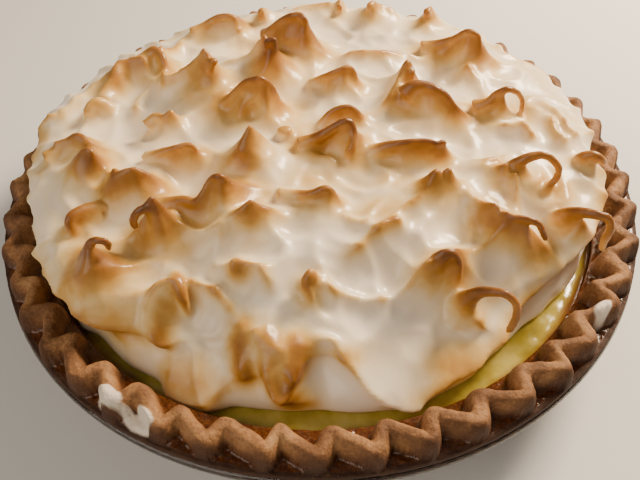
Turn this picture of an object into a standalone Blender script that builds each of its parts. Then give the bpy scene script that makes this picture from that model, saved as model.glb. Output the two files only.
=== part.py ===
"""A lemon meringue pie in its own clear glass dish.

The pie stands on the ground plane with the middle of the dish's foot at the origin, +Z up and +Y to the
back. Lengths in the tables and constants are millimetres, and MM turns them into Blender's metres.

Nodes: dish, crust, lemon_filling and meringue. The crust lines the dish and carries a fluted rope of dough
on the dish's flat rim. The filling is a full disc inside it, and the meringue is one solid on the filling,
with its peaks, ridges and hollows pulled out of a low mound.
"""

import math

import bmesh
import bpy
import numpy as np
from mathutils import Vector, noise

MM = 0.001
GAP = 0.4                       # clearance between solids that touch in the real pie

# Dish: a plate for a nine inch pie, pressed from clear glass.
DISH_HEIGHT = 36.0
DISH_RIM_RADIUS = 125.0
DISH_MOUTH_RADIUS = 115.0       # where the inner wall meets the flat rim
DISH_FLOOR_RADIUS = 89.0
DISH_GLASS = 4.5
DISH_COLUMNS = 60

# Crust: a lining of short dough with a fluted rope pinched round the rim.
LINING = 3.8
FILLING_LEVEL = 31.0
FILLING_RADIUS = 108.5          # the wetted edge of the lemon filling
APRON_RADIUS = 124.4            # the dough trimmed at the edge of the dish's rim
APRON_THICK = 2.6
FLUTES = 46
ROPE_MIDDLE = 116.8             # mean radius of the rope's crest
ROPE_SWING = 3.7                # how far the crest swings in and out
ROPE_HALF_WIDTH = 3.3
ROPE_HEIGHT = 8.6
CRUST_COLUMNS = 460
CRUST_TRIANGLES = 5200
FILLING_COLUMNS = 60

# Dabs of meringue dropped on the rope and baked to it: angle in degrees, radius, length and width.
DABS = ((-123.5, 120, 12, 6), (-118, 120.5, 13, 6), (-38.5, 118, 9, 5))
DAB_THICK = 1.8

# Meringue: the mound, before its peaks.
MERINGUE_FOOT = FILLING_LEVEL + 0.6
SHOULDER_LEVEL = 59.5
CROWN_RISE = 6.5
MOUND_COLUMNS = 120
MOUND_VOXEL = 1.2
FUSE_VOXEL = 1.1
SMOOTH_PASSES = 6
MERINGUE_TRIANGLES = 7000
FLARE = 7.0                     # a peak's skirt shrinks to a third over this length
TIP_SHARE = 0.72                # tips are made thinner than the table says, as they swell when fused
TUBE_SIDES = 10
TUBE_RINGS = 16

# The mound's edge on the filling, angle in degrees against radius.
EDGE = (
    (0, 108), (50, 108), (90, 107), (130, 107), (180, 107), (200, 106), (211, 107), (217, 107), (222, 103.5),
    (231, 104), (238, 102.5), (242, 107), (248, 105), (254, 100.5), (262, 100), (274, 101), (284, 101),
    (296, 101), (306, 98.5), (314, 98.5), (321, 101), (333, 104.5), (345, 106),
)

# Side of the mound as (share of the edge's radius, share of the height), from the foot to the crown.
SIDE = (
    (1.0, 0.0), (1.008, 0.07), (1.0, 0.22), (0.985, 0.42), (0.965, 0.62), (0.93, 0.82), (0.885, 0.95),
    (0.83, 1.0),
)

# Where the upper half of the mound leans out over the rope: angle in degrees, spread and reach.
LEANS = ((168, 27, 11), (203, 12, 5), (224, 11, 11), (10, 34, 6), (130, 20, 3), (335, 14, 5))
LEAN_FROM = 49.5                # the lean starts above the rope
INSIDE_RADIUS = 107.4           # below the top of the rope the meringue stays inside this
ROPE_CLEAR = 51.0

# The front of the mound sinks and so slopes: middle and spread in degrees, depth, and run inwards.
FRONT = 276.0
FRONT_SPREAD = 52.0
SLUMP_DEPTH = 8.0
SLUMP_RUN = 0.62

# Peaks pulled out with a spoon. Each has a spine of (x, y, rise above the mound), the reach of its foot along
# the pull, its girth across the pull, the radius of its tip, and how many points of its spine stand on a web
# of meringue. The rest of its spine hangs free.
PEAKS = {
    "left_cone": (
        ((-84, -19, -3), (-82, -21, 6), (-81, -21, 12), (-79, -22, 16), (-79, -22, 14)), 9, 6, 1.6, 0),
    "left_long_arm": (
        ((-77, -31, -2), (-73, -32, 6), (-69, -32, 12), (-65, -32, 14), (-62, -32, 14), (-58, -31, 10),
         (-56, -32, 6), (-53, -32, 0)), 7, 5, 1.5, 8),
    "front_left_curl": (
        ((-52, -51, -2), (-52, -51, 8), (-53, -51, 15), (-57, -52, 17), (-60, -53, 14), (-60, -53, 10)
         ), 5, 5, 1.9, 3),
    "front_left_sail": (
        ((-54, -40, 3), (-46, -41, 7), (-41, -43, 8), (-38, -42, 11), (-35, -40, 15), (-32, -41, 17),
         (-30, -40, 14), (-27, -37, 8)), 5, 5, 1.9, 8),
    "left_lip": (
        ((-77, -39, 3), (-80, -41, 6), (-83, -44, 8), (-84, -46, 7), (-83, -47, 4), (-81, -47, 0)
         ), 5, 4, 2.0, 3),
    "front_left_peak": (
        ((-77, -64, -2), (-76, -63, 5), (-74, -64, 12), (-71, -64, 18), (-68, -65, 20), (-66, -65, 19),
         (-66, -65, 15)), 10, 8, 1.5, 0),
    "left_back_fold": (
        ((-100, -10, 3), (-93, -7, 8), (-88, -7, 11), (-84, -10, 9), (-81, -14, 7)), 5, 5, 1.7, 5),
    "left_little_arch": (
        ((-61, -15, 2), (-56, -16, 6), (-50, -17, 9), (-46, -17, 10), (-44, -17, 8), (-44, -16, 3)
         ), 5, 4, 1.4, 6),
    "left_little_fin": (
        ((-64, 4, 3), (-61, 5, 6), (-57, 3, 7), (-55, 4, 9), (-54, 3, 6), (-54, 1, 2)), 4, 3, 1.2, 6),
    "left_back_hook": (
        ((-84, 18, 2), (-86, 18, 6), (-88, 17, 7), (-90, 15, 6), (-91, 15, 2)), 5, 4, 1.9, 3),
    "far_left_fin": (
        ((-86, 26, 2), (-85, 30, 5), (-82, 34, 8), (-80, 39, 10), (-75, 40, 10), (-71, 39, 9)
         ), 5, 4, 1.9, 6),
    "far_left_sail": (
        ((-71, 42, 8), (-68, 43, 11), (-66, 43, 12), (-63, 40, 11), (-62, 37, 8), (-62, 34, 5)
         ), 5, 4, 1.8, 6),
    "back_left_fold": (
        ((-54, 71, 3), (-47, 73, 7), (-42, 73, 10), (-36, 72, 10), (-33, 75, 6), (-31, 75, 3)
         ), 5, 4, 1.8, 6),
    "back_left_stub": (
        ((-33, 73, -2), (-34, 70, 4), (-34, 70, 6)), 6, 5, 1.5, 0),
    "left_tall_cone": (
        ((-44, 26, -3), (-43, 24, 6), (-41, 21, 14), (-39, 20, 19), (-38, 20, 18)), 9, 8, 2.1, 0),
    "left_fold_wall": (
        ((-20, 9, 8), (-23, 9, 9), (-26, 8, 8), (-28, 6, 6), (-30, 2, 1)), 5, 4, 1.7, 5),
    "left_fold_wing": (
        ((-20, 9, 7), (-19, 8, 7), (-19, 4, 5), (-20, 0, 1)), 5, 4, 1.7, 4),
    "left_fold_back": (
        ((-35, 12, 3), (-31, 11, 9), (-27, 11, 14), (-23, 9, 17), (-20, 8, 18), (-17, 9, 14),
         (-15, 11, 7), (-14, 13, 2)), 5, 4, 1.7, 8),
    "back_sail": (
        ((-20, 60, 5), (-18, 56, 10), (-14, 54, 15), (-10, 51, 19), (-6, 50, 20), (-4, 48, 19),
         (-3, 49, 14), (-3, 51, 5), (-2, 51, 1)), 5, 4, 2.1, 9),
    "back_horn": (
        ((-17, 35, -3), (-16, 35, 6), (-16, 33, 14), (-16, 33, 19), (-19, 33, 18), (-19, 33, 15)
         ), 9, 6, 1.6, 0),
    "back_cone": (
        ((-23, 85, -3), (-23, 80, 5), (-24, 79, 8), (-22, 79, 9)), 8, 6, 1.6, 0),
    "back_spike": (
        ((12, 92, -2), (12, 86, 5), (12, 84, 8)), 5, 4, 1.3, 0),
    "back_right_cone": (
        ((27, 84, -3), (27, 81, 4), (26, 80, 8), (25, 78, 11)), 8, 6, 1.7, 0),
    "back_right_horn": (
        ((53, 77, -3), (52, 76, 4), (51, 74, 9), (50, 73, 11)), 7, 5, 2.1, 0),
    "back_hook": (
        ((-1, 26, 1), (3, 25, 5), (7, 23, 9), (11, 23, 11), (13, 24, 11), (15, 24, 9), (16, 23, 5),
         (15, 25, 0)), 4, 3, 1.5, 8),
    "right_horn": (
        ((37, 23, -2), (37, 20, 6), (37, 19, 11), (37, 19, 14)), 8, 6, 1.8, 0),
    "right_arch": (
        ((35, 10, 8), (37, 10, 11), (41, 10, 12), (45, 8, 12), (49, 7, 10), (52, 5, 7), (56, 5, 3),
         (59, 5, 0)), 5, 4, 1.8, 8),
    "back_right_sail": (
        ((47, 52, 2), (54, 51, 6), (59, 49, 10), (62, 47, 14), (64, 45, 16), (67, 44, 15), (68, 43, 12),
         (68, 41, 8), (68, 39, 4)), 5, 4, 1.9, 9),
    "right_ring_hook": (
        ((63, 10, 2), (67, 9, 6), (69, 10, 9), (71, 9, 12), (73, 9, 13), (77, 10, 11), (80, 11, 7),
         (80, 9, 3), (80, 8, 0)), 5, 4, 1.4, 4),
    "right_dark_fold": (
        ((21, -16, 1), (25, -17, 5), (31, -18, 8), (38, -18, 9), (42, -19, 9), (45, -18, 9), (44, -19, 6)
         ), 5, 4, 1.5, 6),
    "middle_thin_arch": (
        ((3, 0, 1), (5, 1, 5), (8, 1, 8), (12, 1, 9), (15, 1, 7), (16, 2, 3), (15, 2, 0)), 4, 3, 1.2, 7),
    "middle_stub": (
        ((-12, -6, -2), (-12, -6, 3), (-12, -6, 6)), 6, 5, 1.3, 0),
    "middle_scoop": (
        ((-6, -12, 2), (-1, -12, 5), (2, -13, 8), (7, -12, 11), (10, -12, 13), (12, -12, 12),
         (13, -14, 9), (12, -18, 6), (10, -19, 3)), 4, 4, 2.1, 9),
    "middle_left_cone": (
        ((-26, -20, -3), (-25, -22, 5), (-26, -22, 10), (-25, -23, 13)), 11, 8, 2.8, 0),
    "middle_hump": (
        ((-13, -37, 1), (-7, -38, 3), (-2, -40, 6), (1, -40, 8), (3, -40, 8), (5, -40, 5), (7, -42, 2)
         ), 5, 4, 1.9, 7),
    "middle_hook": (
        ((-23, -45, -2), (-22, -47, 4), (-22, -48, 8), (-23, -49, 7), (-24, -50, 4), (-26, -53, 0)
         ), 7, 5, 1.5, 3),
    "front_left_knob": (
        ((-27, -66, -2), (-27, -67, 4), (-26, -68, 6)), 6, 5, 2.8, 0),
    "front_left_drip": (
        ((-47, -69, 0), (-46, -72, 5), (-45, -75, 5), (-44, -77, 1), (-44, -78, -4)), 7, 5, 1.5, 2),
    "front_drip": (
        ((-3, -72, -1), (-3, -72, 4), (-4, -73, 6), (-5, -74, 5), (-4, -76, 3), (-3, -79, -1),
         (-3, -80, -2)), 6, 4, 1.6, 3),
    "front_right_hook": (
        ((38, -67, -2), (37, -68, 6), (39, -68, 10), (42, -68, 11), (44, -69, 8), (44, -71, 4),
         (42, -73, 0)), 8, 5, 1.8, 4),
    "right_near_spike": (
        ((40, -35, -2), (39, -36, 6), (39, -35, 10)), 5, 4, 2.2, 0),
    "right_far_spike": (
        ((45, -34, -2), (44, -35, 6), (44, -34, 12)), 4, 4, 1.3, 0),
    "right_long_hook": (
        ((58, -49, -2), (57, -48, 6), (60, -52, 10), (63, -55, 13), (67, -56, 14), (71, -57, 13),
         (73, -58, 10), (75, -58, 6)), 7, 4, 1.6, 5),
    "right_great_curl": (
        ((69, -24, -2), (68, -27, 6), (71, -28, 11), (74, -28, 13), (78, -28, 14), (82, -29, 12),
         (84, -30, 9), (83, -31, 5), (80, -33, 3), (77, -34, 2)), 7, 5, 1.9, 3),
    "right_edge_stub": (
        ((99, -16, -3), (96, -19, 4), (98, -20, 7), (101, -21, 7), (104, -21, 4)), 7, 5, 1.7, 3),
    "right_edge_curl": (
        ((84, -43, -5), (84, -46, 4), (87, -49, 9), (91, -52, 11), (95, -53, 10), (96, -55, 7),
         (95, -56, 3), (95, -57, -2)), 9, 6, 2.0, 3),
    "front_right_curl": (
        ((45, -76, -6), (47, -79, 4), (49, -81, 10), (52, -83, 13), (56, -85, 14), (59, -87, 11),
         (59, -89, 6), (57, -91, 2)), 9, 7, 1.9, 5),
}

# Crests that run over the mound between peaks, each a path of (x, y, rise) and the half-width of its flanks.
RIDGES = (
    (((-79, -22, 11), (-78, -22, 7), (-75, -24, 5), (-70, -29, 9)), 3),
    ((
      (-55, -50, 14), (-51, -49, 10), (-47, -50, 6), (-43, -52, 4), (-38, -53, 3), (-33, -53, 4),
      (-29, -51, 5), (-24, -50, 7)), 4),
    (((-70, -75, 3), (-66, -74, 3), (-60, -74, 4), (-56, -73, 4), (-52, -72, 5), (-48, -72, 6)), 4),
    ((
      (-49, -72, 5), (-45, -72, 6), (-42, -71, 6), (-39, -72, 6), (-35, -74, 6), (-33, -76, 5),
      (-30, -79, 4), (-27, -82, 3), (-24, -86, 3), (-21, -88, 4)), 4),
    ((
      (-21, -88, 4), (-17, -91, 5), (-13, -92, 6), (-9, -91, 5), (-5, -92, 5), (-1, -91, 6), (3, -91, 6),
      (5, -93, 5), (7, -97, 2), (10, -102, -1)), 4),
    (((-33, -65, 2), (-28, -66, 4), (-24, -67, 5), (-20, -68, 5), (-18, -71, 4), (-17, -73, 2)), 4),
    ((
      (-1, -73, 3), (4, -75, 3), (11, -76, 3), (19, -76, 3), (24, -75, 4), (28, -73, 6), (31, -71, 8),
      (34, -70, 10)), 4),
    (((44, -65, 7), (50, -62, 5), (55, -59, 5), (59, -56, 6)), 5),
    (((51, -38, 3), (54, -42, 5), (56, -45, 7), (58, -49, 9)), 4),
    (((68, -33, 6), (68, -38, 4), (68, -44, 3), (67, -49, 4), (66, -52, 5)), 3),
    (((56, -24, 2), (61, -26, 3), (65, -28, 6)), 4),
    (((57, -21, 2), (60, -22, 3), (63, -22, 3)), 3),
    (((67, -64, 1), (70, -67, 3), (73, -68, 3), (76, -69, 2)), 3),
    (((7, -62, 1), (12, -60, 3), (16, -56, 4), (21, -53, 5), (25, -51, 6)), 4),
    (((20, -53, 4), (27, -45, 4), (33, -42, 5), (39, -36, 6)), 4),
    (((8, -46, 2), (11, -49, 3), (14, -50, 3), (18, -48, 1)), 3),
    (((-33, -51, 3), (-29, -49, 5), (-25, -49, 7), (-22, -48, 8), (-17, -47, 5), (-12, -46, 2)), 4),
    (((35, 21, 10), (32, 16, 7), (28, 10, 5), (25, 7, 3), (21, 5, 2), (16, 3, 1)), 4),
    (((12, 43, 2), (15, 43, 4), (20, 43, 5), (28, 44, 5), (34, 45, 4), (38, 46, 2), (43, 46, 1)), 5),
    (((-20, 40, 12), (-24, 43, 8), (-28, 44, 5), (-34, 45, 3), (-38, 45, 2)), 4),
    (((-7, 88, 3), (1, 89, 4), (7, 89, 5), (10, 89, 3)), 5),
    (((27, 80, 7), (31, 83, 6), (35, 81, 4), (39, 78, 1)), 4),
    (((6, -20, 3), (1, -18, 3), (-4, -16, 2), (-8, -13, 1)), 3),
    (((-23, -19, 13), (-20, -17, 8), (-17, -17, 4), (-13, -18, 2)), 4),
    (((-43, 25, 14), (-47, 26, 11), (-51, 26, 9), (-55, 26, 8), (-60, 26, 8), (-61, 30, 8)), 4),
    (((-63, 35, 4), (-67, 29, 3), (-72, 23, 3), (-72, 16, 2)), 4),
    (((-65, 49, 8), (-63, 54, 6), (-61, 57, 5), (-59, 67, 3), (-54, 71, 3)), 4),
    ((
      (-114, 10, 1), (-110, 16, 3), (-105, 16, 4), (-102, 15, 3), (-98, 21, 3), (-94, 29, 3),
      (-91, 34, 4), (-86, 36, 4)), 5),
    (((89, 15, 2), (92, 8, 4), (94, 1, 5), (95, -4, 4), (95, -7, 1)), 3),
    (((88, 5, 2), (89, 0, 4), (90, -6, 4), (91, -9, 2)), 3),
    (((76, 0, 3), (78, -3, 5), (80, -6, 4), (80, -8, 1)), 3),
    (((72, -1, 3), (74, -2, 3), (75, -4, 1)), 3),
    (((63, 35, 5), (65, 31, 3), (66, 29, 1)), 3),
)

# Crests on the mound's side: a path of (angle in degrees, height, how far it stands out) and a half-width.
SIDE_RIDGES = (
    (((235, 64, 2), (236.5, 59, 4), (238, 55, 5), (239, 52, 3)), 4),
    (((253.5, 59, 3), (255, 55, 5), (256, 51, 5), (256.5, 48, 3)), 5),
    (((259.5, 58, 4), (260, 53, 6), (261.5, 48, 6), (263, 44, 5), (265, 40, 3), (267, 38.5, 2)), 5),
    (((265, 58, 4), (264.5, 53, 6), (263.5, 48, 6)), 5),
    (((274, 63, 2), (276, 55, 4), (278, 47, 4), (281, 40, 4), (286, 36, 4)), 5),
    (((254, 52, 2), (252, 45, 4), (249, 39, 4), (245, 34, 3)), 8),
    (((224, 56, 3), (227, 50, 4), (230, 44, 3), (232, 40, 1)), 6),
    (((286, 38, 3), (292, 41, 4), (300, 44, 5), (308, 47, 5), (316, 50, 4), (322, 52, 2)), 6),
    (((301, 62, 2), (303, 55, 3), (306, 49, 3)), 6),
    (((330, 54, 3), (340, 55, 3), (352, 56, 3), (2, 57, 3)), 7),
    (((20, 60, 2), (24, 50, 3), (27, 40, 3)), 8),
    (((44, 61, 3), (42, 52, 4), (46, 42, 3)), 7),
    (((66, 60, 3), (70, 50, 4), (68, 40, 3)), 8),
    (((92, 62, 3), (96, 52, 4), (101, 43, 3)), 7),
    (((118, 61, 3), (115, 51, 4), (119, 40, 3)), 8),
    (((140, 62, 2), (144, 52, 3), (141, 42, 3)), 7),
    (((165, 58, 1), (162, 50, 2), (166, 40, 3)), 8),
    (((186, 58, 1), (190, 52, 2), (188, 41, 3)), 7),
    (((208, 58, 1), (206, 50, 2), (210, 40, 3)), 7),
)

# Hollows left by the spoon on top: x, y, radius and depth.
HOLLOWS = (
    (22, -94, 20, 9), (62, -78, 15, 5), (-62, -90, 14, 5), (36, -84, 10, 3),
    (-38, -84, 12, 7), (-66, -56, 14, 4), (22, -66, 12, 5), (-12, 12, 12, 4), (-72, 8, 12, 4),
    (-24, 5, 4, 5), (50, 30, 13, 4), (8, -28, 14, 2), (-46, -27, 9, 4), (84, -10, 7, 2), (52, -8, 11, 3),
    (86, -62, 10, 2), (-30, 62, 10, 3), (14, 66, 14, 3), (3, -14, 5, 4), (48, -50, 10, 3),
    (-60, 58, 9, 3), (78, -45, 7, 4),
)

# Hollows in the side: angle in degrees, height, half-width, half-height and depth.
SIDE_HOLLOWS = (
    (269, 47, 8, 12, 7), (244, 50, 12, 10, 5), (257.5, 50, 4, 8, 4), (296, 52, 16, 7, 5),
    (231, 46, 8, 8, 3), (318, 42, 14, 7, 3),
)


def clear_scene():
    """Empty the scene of whatever was open."""
    for obj in list(bpy.data.objects):
        bpy.data.objects.remove(obj)


def material(name, colour, roughness, alpha=1.0, transmission=0.0):
    """A Principled material with an RGB colour."""
    made = bpy.data.materials.new(name)
    made.use_nodes = True
    shader = made.node_tree.nodes["Principled BSDF"]
    shader.inputs["Base Color"].default_value = (*colour, 1.0)
    shader.inputs["Roughness"].default_value = roughness
    shader.inputs["Metallic"].default_value = 0.0
    shader.inputs["Alpha"].default_value = alpha
    shader.inputs["Transmission Weight"].default_value = transmission
    return made


def add_object(name, mesh, finish, smooth_angle=40.0):
    """Link a mesh as a named object, shaded smooth up to an edge angle."""
    obj = bpy.data.objects.new(name, mesh)
    bpy.context.scene.collection.objects.link(obj)
    mesh.materials.clear()
    mesh.materials.append(finish)
    mesh.shade_smooth()
    mesh.set_sharp_from_angle(angle=math.radians(smooth_angle))
    return obj


def mesh_from(bm, name):
    """Close a bmesh into a mesh with its faces pointing out."""
    bmesh.ops.recalc_face_normals(bm, faces=bm.faces)
    mesh = bpy.data.meshes.new(name)
    bm.to_mesh(mesh)
    bm.free()
    return mesh


def lathe(bm, profile, columns):
    """Spin a profile of (radius, height) pairs a full turn. Ends on the axis close there."""
    points = [bm.verts.new((radius * MM, 0.0, height * MM)) for radius, height in profile]
    edges = [bm.edges.new(pair) for pair in zip(points, points[1:])]
    turn = 2 * math.pi
    bmesh.ops.spin(
        bm, geom=points + edges, cent=(0, 0, 0), axis=(0, 0, 1), angle=turn, steps=columns, use_merge=True)
    bmesh.ops.remove_doubles(bm, verts=bm.verts, dist=0.00001)


def dish_profile():
    """The glass from the middle of its floor, over the rim and back to the middle of its foot."""
    floor = DISH_GLASS
    return (
        (0, floor), (DISH_FLOOR_RADIUS - 4, floor), (DISH_FLOOR_RADIUS, floor + 1.8),
        (DISH_MOUTH_RADIUS - 1.2, DISH_HEIGHT - 1.5), (DISH_MOUTH_RADIUS + 0.8, DISH_HEIGHT),
        (DISH_RIM_RADIUS - 1.5, DISH_HEIGHT), (DISH_RIM_RADIUS, DISH_HEIGHT - 1.5),
        (DISH_RIM_RADIUS - 0.8, DISH_HEIGHT - 3.4), (DISH_MOUTH_RADIUS + 2.6, DISH_HEIGHT - 4.6),
        (DISH_FLOOR_RADIUS + 3.0, 1.6), (DISH_FLOOR_RADIUS, 0), (0, 0),
    )


def build_dish():
    bm = bmesh.new()
    lathe(bm, dish_profile(), DISH_COLUMNS)
    glass = material("clear_glass", (0.86, 0.90, 0.90), 0.04, alpha=0.35, transmission=1.0)
    return add_object("dish", mesh_from(bm, "dish"), glass)


def uneven(angle, seed):
    """Slow change round the rim, from -1 to 1, that makes each hand-pinched flute its own size."""
    turn = Vector((math.cos(angle), math.sin(angle), 0)) * FLUTES / 5
    return noise.noise(turn + Vector((0, 0, seed)))


def rope_crest(steps=12):
    """One flute and its neighbours, unrolled flat as (along, outward) pairs in mm from the mean crest."""
    pitch = 2 * math.pi * ROPE_MIDDLE / FLUTES
    crest = []
    for step in range(-steps, 2 * steps + 1):
        phase = 2 * math.pi * step / steps
        swing = (math.sin(phase) - 0.42 * math.sin(2 * phase) + 0.12 * math.sin(3 * phase)) / 1.25
        crest.append((step * pitch / steps, ROPE_SWING * swing))
    return pitch, crest


def rope_lift(angle, radius, pitch, crest):
    """How much the rope raises the dough at a place, as a share of the rope's height."""
    along = (angle + 0.022 * uneven(angle, 9.0)) * ROPE_MIDDLE % pitch
    outward = (radius - ROPE_MIDDLE - 0.8 * uneven(angle, 3.0)) / (1 + 0.2 * uneven(angle, 5.0))
    nearest = 99.0
    for (x0, y0), (x1, y1) in zip(crest, crest[1:]):
        dx, dy = x1 - x0, y1 - y0
        share = min(max(((along - x0) * dx + (outward - y0) * dy) / (dx * dx + dy * dy), 0), 1)
        nearest = min(nearest, math.hypot(along - x0 - share * dx, outward - y0 - share * dy))
    across = nearest / ROPE_HALF_WIDTH
    return max(0.0, 1 - across**3) ** 0.55 * (1 + 0.14 * uneven(angle, 7.0))


def dab_lift(x, y):
    """Thickness of the meringue dabs at a place in mm."""
    thick = 0.0
    for angle, radius, length, width in DABS:
        turned = math.radians(angle)
        across = x * math.cos(turned) + y * math.sin(turned) - radius
        along = y * math.cos(turned) - x * math.sin(turned)
        thick = max(thick, DAB_THICK * (1 - (2 * along / length) ** 2 - (2 * across / width) ** 2))
    return thick


def build_crust():
    """The lining and its apron from one lathe, then the rope raised out of the apron."""
    rim_top = DISH_HEIGHT + GAP
    apron = rim_top + APRON_THICK
    wall = ROPE_MIDDLE - ROPE_SWING - ROPE_HALF_WIDTH
    profile = [
        (0, DISH_GLASS + GAP), (DISH_FLOOR_RADIUS - 4.4, DISH_GLASS + GAP),
        (DISH_FLOOR_RADIUS - 0.7, DISH_GLASS + 2.3), (DISH_MOUTH_RADIUS - 1.8, rim_top - 1.9),
        (DISH_MOUTH_RADIUS + 0.6, rim_top), (APRON_RADIUS - 0.4, rim_top), (APRON_RADIUS, rim_top + 0.8),
    ]
    rows = 17
    for row in range(rows + 1):
        radius = APRON_RADIUS - 0.3 - (APRON_RADIUS - 0.3 - wall + 1.0) * row / rows
        fall = max(0.0, wall + 3.0 - radius)
        profile.append((radius, apron - 0.35 * fall))
    profile += [
        (FILLING_RADIUS + 0.9, FILLING_LEVEL + 1), (DISH_FLOOR_RADIUS - 3.2, DISH_GLASS + LINING + 2),
        (DISH_FLOOR_RADIUS - 7, DISH_GLASS + LINING), (0, DISH_GLASS + LINING),
    ]
    bm = bmesh.new()
    lathe(bm, profile, CRUST_COLUMNS)
    pitch, crest = rope_crest()
    for vert in bm.verts:
        radius = math.hypot(vert.co.x, vert.co.y) / MM
        if radius > wall - 1.4 and vert.co.z > (apron - 2.4) * MM:
            angle = math.atan2(vert.co.y, vert.co.x)
            lift = rope_lift(angle, radius, pitch, crest)
            vert.co.z += (ROPE_HEIGHT * lift + dab_lift(vert.co.x / MM, vert.co.y / MM)) * MM
    dough = material("baked_crust", (0.56, 0.36, 0.20), 0.65)
    mesh = mesh_from(bm, "crust")
    mesh.calc_loop_triangles()
    obj = add_object("crust", mesh, dough)
    coarse = obj.modifiers.new("coarse", "DECIMATE")
    coarse.ratio = CRUST_TRIANGLES / len(mesh.loop_triangles)
    return obj


def build_filling():
    bottom = DISH_GLASS + LINING + 2 * GAP
    profile = (
        (0, FILLING_LEVEL), (FILLING_RADIUS - 1.2, FILLING_LEVEL),
        (FILLING_RADIUS - 2.0, FILLING_LEVEL - 1.2),
        (DISH_FLOOR_RADIUS - 5.4, bottom + 2.2), (DISH_FLOOR_RADIUS - 9.4, bottom), (0, bottom),
    )
    bm = bmesh.new()
    lathe(bm, profile, FILLING_COLUMNS)
    curd = material("lemon_filling", (0.72, 0.62, 0.16), 0.15)
    return add_object("lemon_filling", mesh_from(bm, "lemon_filling"), curd)


def edge_radius(angle):
    """Radius of the meringue's edge at angles in degrees, eased between the points of EDGE."""
    angles = [known for known, _ in EDGE] + [360 + EDGE[0][0]]
    radii = [radius for _, radius in EDGE] + [EDGE[0][1]]
    wrapped = np.mod(angle, 360.0)
    index = np.clip(np.searchsorted(angles, wrapped, side="right") - 1, 0, len(EDGE) - 1)
    low = np.take(angles, index)
    share = (wrapped - low) / (np.take(angles, index + 1) - low)
    eased = (1 - np.cos(np.pi * share)) / 2
    return np.take(radii, index) * (1 - eased) + np.take(radii, index + 1) * eased


def crown(x, y):
    """Level of the mound under the peaks."""
    return SHOULDER_LEVEL + CROWN_RISE * (1 - np.clip(np.hypot(x, y) / 95.0, 0, 1) ** 2)


def path_places(path):
    """Places about a millimetre apart along a path of (x, y, rise)."""
    places = [path[0]]
    for start, end in zip(path, path[1:]):
        count = max(1, round(math.hypot(end[0] - start[0], end[1] - start[1]) / 1.2))
        for step in range(1, count + 1):
            places.append(tuple(a + (b - a) * step / count for a, b in zip(start, end)))
    return places


def flanks(x, y, path, crest, skirt):
    """Height of a crest along a path whose flanks fall in a hollow curve, steep at the top and wide below."""
    height = np.zeros(x.shape)
    for px, py, rise in path_places(path):
        if rise > 0:
            squared = (x - px) ** 2 + (y - py) ** 2
            steep = np.exp(-(np.sqrt(squared + 1.0) - 1.0) / (crest * (1 + 0.055 * rise)))
            wide = np.exp(-squared / (skirt * (1 + 0.05 * rise)) ** 2)
            height = np.maximum(height, rise * (0.78 * steep + 0.25 * wide))
    return height


def relief(x, y):
    """Height that ridges, the feet of peaks and the spoon's hollows add to the mound."""
    squared = np.zeros(x.shape)
    for path, width in RIDGES:
        squared += (1.25 * flanks(x, y, path, 0.4 * width, 1.6 * width)) ** 2
    for spine, reach, girth, _, webbed in PEAKS.values():
        side = (reach + girth) / 2
        if webbed == len(spine):
            squared += flanks(x, y, spine, 0.42 * side, 1.1 * side) ** 2
        elif webbed:
            squared += flanks(x, y, spine[:webbed], 0.22 * side, 0.8 * side) ** 2
        else:
            foot, top = spine[0], spine[-1]
            tallest = max(point[2] for point in spine)
            middle = ((foot[0] + top[0]) / 2, (foot[1] + top[1]) / 2, 0.9 * tallest)
            squared += flanks(x, y, (middle,), 0.34 * side, side) ** 2
    raised = np.sqrt(squared)
    for hx, hy, radius, depth in HOLLOWS:
        raised -= depth * np.exp(-(((x - hx) ** 2 + (y - hy) ** 2) / radius**2))
    return raised


def side_crest(degrees, height, path, width):
    """How far a crest stands out of the mound's side at angles in degrees and heights."""
    best = np.zeros(height.shape)
    for middle, level, out in path_places(path):
        along = np.radians((degrees - middle + 180) % 360 - 180) * 100
        squared = along**2 + (height - level) ** 2
        steep = np.exp(-(np.sqrt(squared + 1.0) - 1.0) / (0.4 * width))
        best = np.maximum(best, out * (0.75 * steep + 0.25 * np.exp(-squared / (1.4 * width) ** 2)))
    return best


def lumps(points, size, seed):
    """Smooth noise from about -1 to 1 at each point, in lumps of a size in mm."""
    offset = Vector((seed, -seed, 0.5 * seed))
    return np.array([noise.fractal(Vector(point) / size + offset, 0.9, 2.1, 1) for point in points.tolist()])


def folds(points):
    """Small folds that the spoon leaves everywhere: sharp low crests with round hollows between."""
    flat = points.copy()
    flat[:, 2] *= 0.4
    flat[:, :2] += 3.0 * np.column_stack([lumps(flat, 18.0, 3.0), lumps(flat, 18.0, 7.0)])
    broad = 1 - np.abs(lumps(flat, 17.0, 21.0)) * 2.2
    fine = 1 - np.abs(lumps(flat, 8.0, 33.0)) * 2.2
    return 2.0 * broad * np.abs(broad) + 0.6 * fine


def smooth_step(values, low, high):
    """Ease from 0 at low to 1 at high."""
    share = np.clip((values - low) / (high - low), 0, 1)
    return share * share * (3 - 2 * share)


def slumped(points):
    """The points in mm after the front has sunk towards the filling, where it slopes and doesn't stand."""
    angle = np.degrees(np.arctan2(points[:, 1], points[:, 0]))
    front = np.exp(-((((angle - FRONT + 180) % 360 - 180) / FRONT_SPREAD) ** 4))
    outer = smooth_step(np.hypot(points[:, 0], points[:, 1]), 56, 90)
    sunk = SLUMP_DEPTH * front * outer * smooth_step(points[:, 2], MERINGUE_FOOT, 59)
    return points + sunk[:, None] * np.array((0, SLUMP_RUN, -1))


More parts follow.
